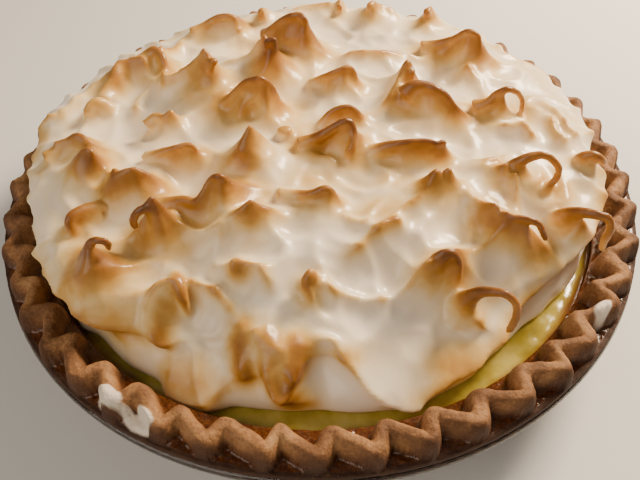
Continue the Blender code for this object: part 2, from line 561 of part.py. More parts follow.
def held_in(points):
    """The points in mm, none of them past the crust's wall or down on its rope."""
    reach = INSIDE_RADIUS + 1.5 * np.maximum(points[:, 2] - ROPE_CLEAR, 0)
    share = np.minimum(1, reach / np.maximum(np.hypot(points[:, 0], points[:, 1]), 1))
    return points * np.column_stack([share, share, np.ones(len(points))])


def points_of(mesh):
    """The mesh's points as rows of x, y and z in mm."""
    flat = np.empty(len(mesh.vertices) * 3, np.float32)
    mesh.vertices.foreach_get("co", flat)
    return flat.reshape(-1, 3).astype(np.float64) / MM


def set_points(mesh, points):
    """Move the mesh's points to rows of x, y and z in mm."""
    mesh.vertices.foreach_set("co", (points * MM).astype(np.float32).ravel())


def evaluated(obj, name):
    """The object's mesh with its modifiers carried out. The object goes."""
    graph = bpy.context.evaluated_depsgraph_get()
    mesh = bpy.data.meshes.new_from_object(obj.evaluated_get(graph))
    mesh.name = name
    bpy.data.objects.remove(obj)
    return mesh


def remeshed(mesh, voxel):
    """The mesh rebuilt in even faces, with all that overlaps fused."""
    obj = bpy.data.objects.new("working", mesh)
    bpy.context.scene.collection.objects.link(obj)
    modifier = obj.modifiers.new("fuse", "REMESH")
    modifier.mode = "VOXEL"
    modifier.voxel_size = voxel * MM
    return evaluated(obj, "working")


def even_out(bm, passes):
    """Take out the voxel steps without thinning the peaks: each smoothing is followed by a swelling."""
    for _ in range(passes):
        for factor in (0.5, -0.52):
            bmesh.ops.smooth_vert(
                bm, verts=bm.verts, factor=factor, use_axis_x=True, use_axis_y=True, use_axis_z=True)


def build_mound():
    """The plain mound, cut in to its edge and leant out over the crust above the rope, then its relief."""
    bm = bmesh.new()
    profile = [(0, 0)] + [(100 * share, height) for share, height in SIDE] + [(60, 1.0), (30, 1.0), (0, 1.0)]
    lathe(bm, [(radius, height / MM) for radius, height in profile], MOUND_COLUMNS)
    mesh = mesh_from(bm, "mound")
    points = points_of(mesh)
    degrees = np.degrees(np.arctan2(points[:, 1], points[:, 0]))
    points[:, :2] *= (edge_radius(degrees) / 100)[:, None]
    level = crown(points[:, 0], points[:, 1])
    points[:, 2] = MERINGUE_FOOT + points[:, 2] * MM * (level - MERINGUE_FOOT)
    radius = np.hypot(points[:, 0], points[:, 1])
    lean = sum(
        reach * np.exp(-((((degrees - middle + 180) % 360 - 180) / spread) ** 2))
        for middle, spread, reach in LEANS)
    rise = np.clip((points[:, 2] - LEAN_FROM) / 5, 0, 1) * np.clip((radius - 60) / 30, 0, 1)
    points[:, :2] *= (1 + lean * rise / np.maximum(radius, 1))[:, None]
    set_points(mesh, points)
    mesh = remeshed(mesh, MOUND_VOXEL)
    points = points_of(mesh)
    small = folds(points)
    x, y, z = points.T
    share = np.clip((z - MERINGUE_FOOT) / (crown(x, y) - MERINGUE_FOOT), 0, 1)
    degrees, radius = np.degrees(np.arctan2(y, x)), np.hypot(x, y)
    points[:, 2] = z + (relief(x, y) + small) * share**1.2
    push = -0.8 * small * smooth_step(points[:, 2], MERINGUE_FOOT + 1, MERINGUE_FOOT + 8)
    for middle, height, across, up, depth in SIDE_HOLLOWS:
        along = np.radians((degrees - middle + 180) % 360 - 180) * radius
        push += depth * np.exp(-((along / across) ** 2) - ((points[:, 2] - height) / up) ** 2)
    for path, width in SIDE_RIDGES:
        push -= side_crest(degrees, points[:, 2], path, width)
    shrink = 1 - push * np.clip((radius - 80) / 15, 0, 1) / np.maximum(radius, 1)
    points[:, :2] *= shrink[:, None]
    set_points(mesh, points)
    return mesh


def spline_point(points, share):
    """A point on the smooth curve through the points, share running from 0 to 1."""
    spans = len(points) - 1
    at = min(int(share * spans), spans - 1)
    t = share * spans - at
    p0, p1 = points[max(at - 1, 0)], points[at]
    p2, p3 = points[at + 1], points[min(at + 2, spans)]
    return 0.5 * (
        2 * p1 + (p2 - p0) * t + (2 * p0 - 5 * p1 + 4 * p2 - p3) * t**2 + (3 * p1 - p0 - 3 * p2 + p3) * t**3)


def add_peak(bm, spine, reach, girth, tip):
    """Extrude a ring of vertices along the spine, wide and flat at the foot, round at the tip."""
    points = [Vector((x, y, float(crown(np.array([x]), np.array([y]))[0]) + rise)) for x, y, rise in spine]
    pull = points[-1] - points[0]
    across = Vector((-pull.y, pull.x, 0))
    across = across.normalized() if across.length > 0.5 else Vector((0, 1, 0))
    ring = bmesh.ops.create_circle(bm, cap_ends=True, segments=TUBE_SIDES, radius=MM)["verts"]
    corners = [(vert.co.x / MM, vert.co.y / MM) for vert in ring]
    run = 0.0
    for step in range(TUBE_RINGS + 1):
        share = step / TUBE_RINGS
        run += (spline_point(points, share) - spline_point(points, max(share - 1 / TUBE_RINGS, 0))).length
        middle = spline_point(points, share)
        ahead = spline_point(points, min(share + 0.02, 1)) - spline_point(points, max(share - 0.02, 0))
        ahead.normalize()
        across_here = (across - across.dot(ahead) * ahead).normalized()
        out = across_here.cross(ahead)
        slim = math.exp(-run / FLARE)
        rounding = math.sqrt(max(1 - max(0.0, (share - 0.9) / 0.1) ** 2, 0.1))
        thin = TIP_SHARE * tip
        long_side = (thin + (reach - thin) * slim) * rounding
        short_side = (0.9 * thin + (girth - thin) * slim) * rounding
        if step:
            loop = [e for e in {e for v in ring for e in v.link_edges} if all(v in ring for v in e.verts)]
            caps = [f for f in {f for v in ring for f in v.link_faces} if all(v in ring for v in f.verts)]
            order = {vert.co.copy().freeze(): index for index, vert in enumerate(ring)}
            made = bmesh.ops.extrude_face_region(bm, geom=caps + loop)["geom"]
            new = [item for item in made if isinstance(item, bmesh.types.BMVert)]
            ring = sorted(new, key=lambda vert: order[vert.co.copy().freeze()])
        for vert, (u, v) in zip(ring, corners):
            vert.co = (middle + out * (u * long_side) + across_here * (v * short_side)) * MM


def largest_piece(bm):
    """Drop every scrap but the largest connected piece."""
    left = set(bm.verts)
    pieces = []
    while left:
        stack = [left.pop()]
        piece = list(stack)
        while stack:
            for edge in stack.pop().link_edges:
                for vert in edge.verts:
                    if vert in left:
                        left.remove(vert)
                        stack.append(vert)
                        piece.append(vert)
        pieces.append(piece)
    pieces.sort(key=len)
    for piece in pieces[:-1]:
        bmesh.ops.delete(bm, geom=piece, context="VERTS")


def build_meringue():
    """Pull the peaks, fuse them with the mound, smooth the whole and let its front sink."""
    bm = bmesh.new()
    for spine, reach, girth, tip, _ in PEAKS.values():
        add_peak(bm, spine, reach, girth, tip)
    bmesh.ops.recalc_face_normals(bm, faces=bm.faces)
    bm.from_mesh(build_mound())
    fused = remeshed(mesh_from(bm, "peaks"), FUSE_VOXEL)
    bm = bmesh.new()
    bm.from_mesh(fused)
    largest_piece(bm)
    even_out(bm, SMOOTH_PASSES)
    for vert in bm.verts:
        vert.co.z = max(vert.co.z, MERINGUE_FOOT * MM)
    mesh = mesh_from(bm, "meringue")
    set_points(mesh, held_in(slumped(points_of(mesh))))
    mesh.calc_loop_triangles()
    white = material("toasted_meringue", (0.93, 0.86, 0.74), 0.35)
    obj = add_object("meringue", mesh, white)
    coarse = obj.modifiers.new("coarse", "DECIMATE")
    coarse.ratio = MERINGUE_TRIANGLES / len(mesh.loop_triangles)
    return obj


def main():
    clear_scene()
    build_dish()
    build_crust()
    build_filling()
    build_meringue()


main()
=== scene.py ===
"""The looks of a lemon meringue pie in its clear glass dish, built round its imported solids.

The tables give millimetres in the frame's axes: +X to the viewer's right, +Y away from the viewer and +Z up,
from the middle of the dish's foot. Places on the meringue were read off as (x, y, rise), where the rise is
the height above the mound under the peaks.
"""

import logging
import math
from dataclasses import dataclass, field
from enum import Enum

import bmesh
import bpy
import numpy as np
from mathutils import Matrix, Vector, noise


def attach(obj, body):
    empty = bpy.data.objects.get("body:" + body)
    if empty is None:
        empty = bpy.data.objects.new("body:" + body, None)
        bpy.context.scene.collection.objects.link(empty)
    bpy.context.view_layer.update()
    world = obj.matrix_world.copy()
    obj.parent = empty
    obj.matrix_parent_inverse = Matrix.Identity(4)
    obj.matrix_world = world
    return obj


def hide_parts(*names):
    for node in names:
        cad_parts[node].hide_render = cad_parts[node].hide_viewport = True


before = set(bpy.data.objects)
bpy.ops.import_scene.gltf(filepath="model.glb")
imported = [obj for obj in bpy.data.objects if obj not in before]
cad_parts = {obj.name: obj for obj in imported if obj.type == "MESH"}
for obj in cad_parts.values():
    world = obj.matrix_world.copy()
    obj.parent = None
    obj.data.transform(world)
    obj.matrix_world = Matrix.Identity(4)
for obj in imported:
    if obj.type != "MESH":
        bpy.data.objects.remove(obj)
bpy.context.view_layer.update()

log = logging.getLogger("lemon_meringue_pie")

MM = 0.001
BODY = "root"
TAU = 2 * math.pi

# Points nearer than this, in mm, become one.
WELD = 0.01

Point = tuple[float, float, float]
Rows = tuple[tuple[float, ...], ...]
Outline = list[tuple[float, float]]
Socket = bpy.types.NodeSocket
Array = np.ndarray


@dataclass(frozen=True)
class Peak:
    """A peak pulled out of the meringue with a spoon.

    Args:
        spine: the peak's middle line from its foot to its tip.
        reach: half the length of its foot along the pull.
        girth: half the width of its foot across the pull.
        tip: radius of its tip.
        webbed: how many points of the spine stand on a web of meringue and don't hang free.
        toast: how brown its crest is, from 0 to 1.
    """

    spine: tuple[Point, ...]
    reach: float
    girth: float
    tip: float
    webbed: int
    toast: float


@dataclass(frozen=True)
class Ridge:
    """A crest that runs over the mound between peaks, or down its side.

    Args:
        path: the line of the crest. On the mound's side a place is (angle in degrees, height, how far it
            stands out).
        width: half the width of its flanks.
        toast: how brown it is, from 0 to 1.
    """

    path: tuple[Point, ...]
    width: float
    toast: float = 0.55


@dataclass(frozen=True)
class Stain:
    """A soft brown patch that no crest explains.

    Args:
        place: its middle as x, y and z.
        spread: how far it reaches along x, y and z.
        toast: how brown its middle is, from 0 to 1.
    """

    place: Point
    spread: Point
    toast: float


PEAKS = {
    "left_cone": Peak((
        (-84, -19, -3), (-82, -21, 6), (-81, -21, 12), (-79, -22, 16), (-79, -22, 14)), 9, 6, 1.6, 0, 0.8),
    "left_long_arm": Peak((
        (-77, -31, -2), (-73, -32, 6), (-69, -32, 12), (-65, -32, 14), (-62, -32, 14), (-58, -31, 10),
        (-56, -32, 6), (-53, -32, 0)), 7, 5, 1.5, 8, 0.75),
    "front_left_curl": Peak((
        (-52, -51, -2), (-52, -51, 8), (-53, -51, 15), (-57, -52, 17), (-60, -53, 14),
        (-60, -53, 10)), 5, 5, 1.9, 3, 0.9),
    "front_left_sail": Peak((
        (-54, -40, 3), (-46, -41, 7), (-41, -43, 8), (-38, -42, 11), (-35, -40, 15), (-32, -41, 17),
        (-30, -40, 14), (-27, -37, 8)), 5, 5, 1.9, 8, 0.8),
    "left_lip": Peak((
        (-77, -39, 3), (-80, -41, 6), (-83, -44, 8), (-84, -46, 7), (-83, -47, 4),
        (-81, -47, 0)), 5, 4, 2.0, 3, 0.85),
    "front_left_peak": Peak((
        (-77, -64, -2), (-76, -63, 5), (-74, -64, 12), (-71, -64, 18), (-68, -65, 20), (-66, -65, 19),
        (-66, -65, 15)), 10, 8, 1.5, 0, 0.95),
    "left_back_fold": Peak((
        (-100, -10, 3), (-93, -7, 8), (-88, -7, 11), (-84, -10, 9), (-81, -14, 7)), 5, 5, 1.7, 5, 0.7),
    "left_little_arch": Peak((
        (-61, -15, 2), (-56, -16, 6), (-50, -17, 9), (-46, -17, 10), (-44, -17, 8),
        (-44, -16, 3)), 5, 4, 1.4, 6, 0.6),
    "left_little_fin": Peak((
        (-64, 4, 3), (-61, 5, 6), (-57, 3, 7), (-55, 4, 9), (-54, 3, 6), (-54, 1, 2)), 4, 3, 1.2, 6, 0.5),
    "left_back_hook": Peak((
        (-84, 18, 2), (-86, 18, 6), (-88, 17, 7), (-90, 15, 6), (-91, 15, 2)), 5, 4, 1.9, 3, 0.6),
    "far_left_fin": Peak((
        (-86, 26, 2), (-85, 30, 5), (-82, 34, 8), (-80, 39, 10), (-75, 40, 10),
        (-71, 39, 9)), 5, 4, 1.9, 6, 0.8),
    "far_left_sail": Peak((
        (-71, 42, 8), (-68, 43, 11), (-66, 43, 12), (-63, 40, 11), (-62, 37, 8),
        (-62, 34, 5)), 5, 4, 1.8, 6, 0.75),
    "back_left_fold": Peak((
        (-54, 71, 3), (-47, 73, 7), (-42, 73, 10), (-36, 72, 10), (-33, 75, 6),
        (-31, 75, 3)), 5, 4, 1.8, 6, 0.65),
    "back_left_stub": Peak(((-33, 73, -2), (-34, 70, 4), (-34, 70, 6)), 6, 5, 1.5, 0, 0.5),
    "left_tall_cone": Peak((
        (-44, 26, -3), (-43, 24, 6), (-41, 21, 14), (-39, 20, 19), (-38, 20, 18)), 9, 8, 2.1, 0, 0.8),
    "left_fold_wall": Peak((
        (-20, 9, 8), (-23, 9, 9), (-26, 8, 8), (-28, 6, 6), (-30, 2, 1)), 5, 4, 1.7, 5, 0.7),
    "left_fold_wing": Peak(((-20, 9, 7), (-19, 8, 7), (-19, 4, 5), (-20, 0, 1)), 5, 4, 1.7, 4, 0.6),
    "left_fold_back": Peak((
        (-35, 12, 3), (-31, 11, 9), (-27, 11, 14), (-23, 9, 17), (-20, 8, 18), (-17, 9, 14), (-15, 11, 7),
        (-14, 13, 2)), 5, 4, 1.7, 8, 0.8),
    "back_sail": Peak((
        (-20, 60, 5), (-18, 56, 10), (-14, 54, 15), (-10, 51, 19), (-6, 50, 20), (-4, 48, 19), (-3, 49, 14),
        (-3, 51, 5), (-2, 51, 1)), 5, 4, 2.1, 9, 0.9),
    "back_horn": Peak((
        (-17, 35, -3), (-16, 35, 6), (-16, 33, 14), (-16, 33, 19), (-19, 33, 18),
        (-19, 33, 15)), 9, 6, 1.6, 0, 0.95),
    "back_cone": Peak(((-23, 85, -3), (-23, 80, 5), (-24, 79, 8), (-22, 79, 9)), 8, 6, 1.6, 0, 0.5),
    "back_spike": Peak(((12, 92, -2), (12, 86, 5), (12, 84, 8)), 5, 4, 1.3, 0, 0.5),
    "back_right_cone": Peak(((27, 84, -3), (27, 81, 4), (26, 80, 8), (25, 78, 11)), 8, 6, 1.7, 0, 0.6),
    "back_right_horn": Peak(((53, 77, -3), (52, 76, 4), (51, 74, 9), (50, 73, 11)), 7, 5, 2.1, 0, 0.65),
    "back_hook": Peak((
        (-1, 26, 1), (3, 25, 5), (7, 23, 9), (11, 23, 11), (13, 24, 11), (15, 24, 9), (16, 23, 5),
        (15, 25, 0)), 4, 3, 1.5, 8, 0.7),
    "right_horn": Peak(((37, 23, -2), (37, 20, 6), (37, 19, 11), (37, 19, 14)), 8, 6, 1.8, 0, 0.85),
    "right_arch": Peak((
        (35, 10, 8), (37, 10, 11), (41, 10, 12), (45, 8, 12), (49, 7, 10), (52, 5, 7), (56, 5, 3),
        (59, 5, 0)), 5, 4, 1.8, 8, 0.9),
    "back_right_sail": Peak((
        (47, 52, 2), (54, 51, 6), (59, 49, 10), (62, 47, 14), (64, 45, 16), (67, 44, 15), (68, 43, 12),
        (68, 41, 8), (68, 39, 4)), 5, 4, 1.9, 9, 0.8),
    "right_ring_hook": Peak((
        (63, 10, 2), (67, 9, 6), (69, 10, 9), (71, 9, 12), (73, 9, 13), (77, 10, 11), (80, 11, 7),
        (80, 9, 3), (80, 8, 0)), 5, 4, 1.4, 4, 0.8),
    "right_dark_fold": Peak((
        (21, -16, 1), (25, -17, 5), (31, -18, 8), (38, -18, 9), (42, -19, 9), (45, -18, 9),
        (44, -19, 6)), 5, 4, 1.5, 6, 0.95),
    "middle_thin_arch": Peak((
        (3, 0, 1), (5, 1, 5), (8, 1, 8), (12, 1, 9), (15, 1, 7), (16, 2, 3), (15, 2, 0)), 4, 3, 1.2, 7, 0.7),
    "middle_stub": Peak(((-12, -6, -2), (-12, -6, 3), (-12, -6, 6)), 6, 5, 1.3, 0, 0.4),
    "middle_scoop": Peak((
        (-6, -12, 2), (-1, -12, 5), (2, -13, 8), (7, -12, 11), (10, -12, 13), (12, -12, 12), (13, -14, 9),
        (12, -18, 6), (10, -19, 3)), 4, 4, 2.1, 9, 0.9),
    "middle_left_cone": Peak((
        (-26, -20, -3), (-25, -22, 5), (-26, -22, 10), (-25, -23, 13)), 11, 8, 2.8, 0, 0.8),
    "middle_hump": Peak((
        (-13, -37, 1), (-7, -38, 3), (-2, -40, 6), (1, -40, 8), (3, -40, 8), (5, -40, 5),
        (7, -42, 2)), 5, 4, 1.9, 7, 0.75),
    "middle_hook": Peak((
        (-23, -45, -2), (-22, -47, 4), (-22, -48, 8), (-23, -49, 7), (-24, -50, 4),
        (-26, -53, 0)), 7, 5, 1.5, 3, 0.75),
    "front_left_knob": Peak(((-27, -66, -2), (-27, -67, 4), (-26, -68, 6)), 6, 5, 2.8, 0, 0.9),
    "front_left_drip": Peak((
        (-47, -69, 0), (-46, -72, 5), (-45, -75, 5), (-44, -77, 1), (-44, -78, -4)), 7, 5, 1.5, 2, 0.9),
    "front_drip": Peak((
        (-3, -72, -1), (-3, -72, 4), (-4, -73, 6), (-5, -74, 5), (-4, -76, 3), (-3, -79, -1),
        (-3, -80, -2)), 6, 4, 1.6, 3, 0.8),
    "front_right_hook": Peak((
        (38, -67, -2), (37, -68, 6), (39, -68, 10), (42, -68, 11), (44, -69, 8), (44, -71, 4),
        (42, -73, 0)), 8, 5, 1.8, 4, 0.9),
    "right_near_spike": Peak(((40, -35, -2), (39, -36, 6), (39, -35, 10)), 5, 4, 2.2, 0, 0.9),
    "right_far_spike": Peak(((45, -34, -2), (44, -35, 6), (44, -34, 12)), 4, 4, 1.3, 0, 0.8),
    "right_long_hook": Peak((
        (58, -49, -2), (57, -48, 6), (60, -52, 10), (63, -55, 13), (67, -56, 14), (71, -57, 13),
        (73, -58, 10), (75, -58, 6)), 7, 4, 1.6, 5, 0.85),
    "right_great_curl": Peak((
        (69, -24, -2), (68, -27, 6), (71, -28, 11), (74, -28, 13), (78, -28, 14), (82, -29, 12),
        (84, -30, 9), (83, -31, 5), (80, -33, 3), (77, -34, 2)), 7, 5, 1.9, 3, 0.75),
    "right_edge_stub": Peak((
        (99, -16, -3), (96, -19, 4), (98, -20, 7), (101, -21, 7), (104, -21, 4)), 7, 5, 1.7, 3, 0.8),
    "right_edge_curl": Peak((
        (84, -43, -5), (84, -46, 4), (87, -49, 9), (91, -52, 11), (95, -53, 10), (96, -55, 7), (95, -56, 3),
        (95, -57, -2)), 9, 6, 2.0, 3, 0.8),
    "front_right_curl": Peak((
        (45, -76, -6), (47, -79, 4), (49, -81, 10), (52, -83, 13), (56, -85, 14), (59, -87, 11),
        (59, -89, 6), (57, -91, 2)), 9, 7, 1.9, 5, 0.9),
}

RIDGES = (
    Ridge(((-79, -22, 11), (-78, -22, 7), (-75, -24, 5), (-70, -29, 9)), 3),
    Ridge((
        (-55, -50, 14), (-51, -49, 10), (-47, -50, 6), (-43, -52, 4), (-38, -53, 3), (-33, -53, 4),
        (-29, -51, 5), (-24, -50, 7)), 4),
    Ridge(((-70, -75, 3), (-66, -74, 3), (-60, -74, 4), (-56, -73, 4), (-52, -72, 5), (-48, -72, 6)), 4),
    Ridge((
        (-49, -72, 5), (-45, -72, 6), (-42, -71, 6), (-39, -72, 6), (-35, -74, 6), (-33, -76, 5),
        (-30, -79, 4), (-27, -82, 3), (-24, -86, 3), (-21, -88, 4)), 4),
    Ridge((
        (-21, -88, 4), (-17, -91, 5), (-13, -92, 6), (-9, -91, 5), (-5, -92, 5), (-1, -91, 6), (3, -91, 6),
        (5, -93, 5), (7, -97, 2), (10, -102, -1)), 4),
    Ridge(((-33, -65, 2), (-28, -66, 4), (-24, -67, 5), (-20, -68, 5), (-18, -71, 4), (-17, -73, 2)), 4),
    Ridge((
        (-1, -73, 3), (4, -75, 3), (11, -76, 3), (19, -76, 3), (24, -75, 4), (28, -73, 6), (31, -71, 8),
        (34, -70, 10)), 4),
    Ridge(((44, -65, 7), (50, -62, 5), (55, -59, 5), (59, -56, 6)), 5),
    Ridge(((51, -38, 3), (54, -42, 5), (56, -45, 7), (58, -49, 9)), 4),
    Ridge(((68, -33, 6), (68, -38, 4), (68, -44, 3), (67, -49, 4), (66, -52, 5)), 3),
    Ridge(((56, -24, 2), (61, -26, 3), (65, -28, 6)), 4),
    Ridge(((57, -21, 2), (60, -22, 3), (63, -22, 3)), 3),
    Ridge(((67, -64, 1), (70, -67, 3), (73, -68, 3), (76, -69, 2)), 3),
    Ridge(((7, -62, 1), (12, -60, 3), (16, -56, 4), (21, -53, 5), (25, -51, 6)), 4),
    Ridge(((20, -53, 4), (27, -45, 4), (33, -42, 5), (39, -36, 6)), 4),
    Ridge(((8, -46, 2), (11, -49, 3), (14, -50, 3), (18, -48, 1)), 3),
    Ridge(((-33, -51, 3), (-29, -49, 5), (-25, -49, 7), (-22, -48, 8), (-17, -47, 5), (-12, -46, 2)), 4),
    Ridge(((35, 21, 10), (32, 16, 7), (28, 10, 5), (25, 7, 3), (21, 5, 2), (16, 3, 1)), 4),
    Ridge(((12, 43, 2), (15, 43, 4), (20, 43, 5), (28, 44, 5), (34, 45, 4), (38, 46, 2), (43, 46, 1)), 5),
    Ridge(((-20, 40, 12), (-24, 43, 8), (-28, 44, 5), (-34, 45, 3), (-38, 45, 2)), 4),
    Ridge(((-7, 88, 3), (1, 89, 4), (7, 89, 5), (10, 89, 3)), 5),
    Ridge(((27, 80, 7), (31, 83, 6), (35, 81, 4), (39, 78, 1)), 4),
    Ridge(((6, -20, 3), (1, -18, 3), (-4, -16, 2), (-8, -13, 1)), 3),
    Ridge(((-23, -19, 13), (-20, -17, 8), (-17, -17, 4), (-13, -18, 2)), 4),
    Ridge(((-43, 25, 14), (-47, 26, 11), (-51, 26, 9), (-55, 26, 8), (-60, 26, 8), (-61, 30, 8)), 4),
    Ridge(((-63, 35, 4), (-67, 29, 3), (-72, 23, 3), (-72, 16, 2)), 4),
    Ridge(((-65, 49, 8), (-63, 54, 6), (-61, 57, 5), (-59, 67, 3), (-54, 71, 3)), 4),
    Ridge((
        (-114, 10, 1), (-110, 16, 3), (-105, 16, 4), (-102, 15, 3), (-98, 21, 3), (-94, 29, 3), (-91, 34, 4),
        (-86, 36, 4)), 5),
    Ridge(((89, 15, 2), (92, 8, 4), (94, 1, 5), (95, -4, 4), (95, -7, 1)), 3),
    Ridge(((88, 5, 2), (89, 0, 4), (90, -6, 4), (91, -9, 2)), 3),
    Ridge(((76, 0, 3), (78, -3, 5), (80, -6, 4), (80, -8, 1)), 3),
    Ridge(((72, -1, 3), (74, -2, 3), (75, -4, 1)), 3),
    Ridge(((63, 35, 5), (65, 31, 3), (66, 29, 1)), 3),
)

# Crests on the mound's side.
SIDE_RIDGES = (
    Ridge(((235, 64, 2), (236.5, 59, 4), (238, 55, 5), (239, 52, 3)), 4, 0.7),
    Ridge(((253.5, 59, 3), (255, 55, 5), (256, 51, 5), (256.5, 48, 3)), 5, 1),
    Ridge((
        (259.5, 58, 4), (260, 53, 6), (261.5, 48, 6), (263, 44, 5), (265, 40, 3), (267, 38.5, 2)), 5, 1),
    Ridge(((265, 58, 4), (264.5, 53, 6), (263.5, 48, 6)), 5, 1),
    Ridge(((274, 63, 2), (276, 55, 4), (278, 47, 4), (281, 40, 4), (286, 36, 4)), 5, 0.1),
    Ridge(((254, 52, 2), (252, 45, 4), (249, 39, 4), (245, 34, 3)), 8, 0.4),
    Ridge(((224, 56, 3), (227, 50, 4), (230, 44, 3), (232, 40, 1)), 6, 0.5),
    Ridge(((286, 38, 3), (292, 41, 4), (300, 44, 5), (308, 47, 5), (316, 50, 4), (322, 52, 2)), 6, 0.45),
    Ridge(((301, 62, 2), (303, 55, 3), (306, 49, 3)), 6, 0.2),
    Ridge(((330, 54, 3), (340, 55, 3), (352, 56, 3), (2, 57, 3)), 7, 0.4),
    Ridge(((20, 60, 2), (24, 50, 3), (27, 40, 3)), 8, 0.2),
    Ridge(((44, 61, 3), (42, 52, 4), (46, 42, 3)), 7, 0.2),
    Ridge(((66, 60, 3), (70, 50, 4), (68, 40, 3)), 8, 0.2),
    Ridge(((92, 62, 3), (96, 52, 4), (101, 43, 3)), 7, 0.2),
    Ridge(((118, 61, 3), (115, 51, 4), (119, 40, 3)), 8, 0.2),
    Ridge(((140, 62, 2), (144, 52, 3), (141, 42, 3)), 7, 0.2),
    Ridge(((165, 58, 1), (162, 50, 2), (166, 40, 3)), 8, 0.3),
    Ridge(((186, 58, 1), (190, 52, 2), (188, 41, 3)), 7, 0.3),
    Ridge(((208, 58, 1), (206, 50, 2), (210, 40, 3)), 7, 0.3),
)

# Hollows left by the spoon on top: x, y, radius and depth.
HOLLOWS = (
    (22, -94, 20, 9), (62, -78, 15, 5), (-62, -90, 14, 5), (36, -84, 10, 3),
    (-38, -84, 12, 7), (-66, -56, 14, 4), (22, -66, 12, 5), (-12, 12, 12, 4), (-72, 8, 12, 4), (-24, 5, 4, 5),
    (50, 30, 13, 4), (8, -28, 14, 2), (-46, -27, 9, 4), (84, -10, 7, 2), (52, -8, 11, 3), (86, -62, 10, 2),
    (-30, 62, 10, 3), (14, 66, 14, 3), (3, -14, 5, 4), (48, -50, 10, 3), (-60, 58, 9, 3), (78, -45, 7, 4),
)

# Hollows in the side: angle in degrees, height, half-width, half-height and depth.
SIDE_HOLLOWS = (
    (269, 47, 8, 12, 7), (244, 50, 12, 10, 5), (257.5, 50, 4, 8, 4), (296, 52, 16, 7, 5), (231, 46, 8, 8, 3),
    (318, 42, 14, 7, 3),
)

STAINS = (
    Stain((-2, -28, 66), (24, 10, 8), 0.27),
    Stain((28, -27, 66), (13, 8, 8), 0.24),
    Stain((8, -2, 66), (26, 10, 8), 0.26),
    Stain((22, -44, 64), (14, 8, 6), 0.35),
    Stain((-72, -76, 52), (25, 16, 13), 0.5),
    Stain((-21, -83, 51), (5, 6, 6), 0.62),
    Stain((-12, -87, 50), (7, 7, 8), 0.68),
    Stain((-44, -92, 42), (14, 10, 9), 0.45),
    Stain((48, -92, 44), (18, 10, 8), 0.42),
    Stain((80, -76, 50), (16, 12, 9), 0.42),
    Stain((102, -40, 54), (8, 26, 7), 0.40),
    Stain((-112, 6, 58), (7, 12, 7), 0.45),
    Stain((-94, -56, 50), (8, 16, 10), 0.42),
)


def linear(hex_colour: str) -> tuple[float, float, float, float]:
    """Turn an sRGB hex colour into the linear RGBA that a socket takes.

    Args:
        hex_colour: six hex digits.

    Returns:
        Linear red, green and blue, and an alpha of 1.
    """
    channels = [int(hex_colour[start:start + 2], 16) / 255 for start in (0, 2, 4)]
    return (*(c / 12.92 if c <= 0.04045 else ((c + 0.055) / 1.055) ** 2.4 for c in channels), 1.0)


def per_mm(length: float) -> float:
    """Scale of a texture on metre coordinates whose pattern repeats about once in a length in mm."""
    return 1.0 / (length * MM)


class Node(Enum):
    """The shader nodes that the finishes are made of, by Blender's names for them."""

    COORDINATES = "ShaderNodeTexCoord"
    ATTRIBUTE = "ShaderNodeAttribute"
    NOISE = "ShaderNodeTexNoise"
    CELLS = "ShaderNodeTexVoronoi"
    MATH = "ShaderNodeMath"
    MIX = "ShaderNodeMix"
    REMAP = "ShaderNodeMapRange"
    RAMP = "ShaderNodeValToRGB"
    BUMP = "ShaderNodeBump"
    SURFACE = "ShaderNodeBsdfPrincipled"
    OUTPUT = "ShaderNodeOutputMaterial"


@dataclass(frozen=True)
class Step:
    """One node of a finish.

    Args:
        kind: which node it is.
        inputs: its inputs by name or index, each with a number, a colour or the name of an earlier step.
        output: name or index of the output that later steps read.
        settings: properties of the node.
        stops: places and hex colours of its colour ramp, if it has one.
    """

    kind: Node
    inputs: dict[str | int, object] = field(default_factory=dict)
    output: str | int = 0
    settings: dict[str, str] = field(default_factory=dict)
    stops: tuple[tuple[float, str], ...] = ()


def add_node(tree: bpy.types.NodeTree, step: Step, made: dict[str, Socket | None]) -> Socket | None:
    """Add a step's node with its settings and links.

    Args:
        tree: the node tree it goes in.
        step: what to add.
        made: the outputs of the steps before it, by name.

    Returns:
        The output that later steps read, or nothing from a node that has no outputs.
    """
    node = tree.nodes.new(step.kind.value)
    for name, value in step.settings.items():
        setattr(node, name, value)
    for key, value in step.inputs.items():
        if isinstance(value, str):
            tree.links.new(made[value], node.inputs[key])
        else:
            node.inputs[key].default_value = value
    for index, (at, colour) in enumerate(step.stops):
        elements = node.color_ramp.elements
        element = elements[index] if index < 2 else elements.new(at)
        element.position = at
        element.color = linear(colour)
    return node.outputs[step.output] if node.outputs else None


@dataclass(frozen=True)
class Finish:
    """What a surface is made of.

    Args:
        name: the real material's name.
        steps: its nodes by name, of which the last is the surface.
    """

    name: str
    steps: dict[str, Step]

    def material(self) -> bpy.types.Material:
        """Make the material.

        Returns:
            A material whose nodes read Object coordinates or the piece's own attributes.
        """
        material = bpy.data.materials.new(self.name)
        material.use_nodes = True
        material.node_tree.nodes.clear()
        first = {"where": Step(Node.COORDINATES, output="Object")}
        last = {"output": Step(Node.OUTPUT, {"Surface": "surface"})}
        made = {}
        for name, step in {**first, **self.steps, **last}.items():
            made[name] = add_node(material.node_tree, step, made)
        return material


ADD, MULTIPLY, MULTIPLY_ADD = ({"operation": name} for name in ("ADD", "MULTIPLY", "MULTIPLY_ADD"))
COLOURS = {"data_type": "RGBA"}
ATTRIBUTES = {
    name: Step(Node.ATTRIBUTE, output="Fac", settings={"attribute_name": name})
    for name in ("glaze", "dab", "bake", "rim", "toast")}

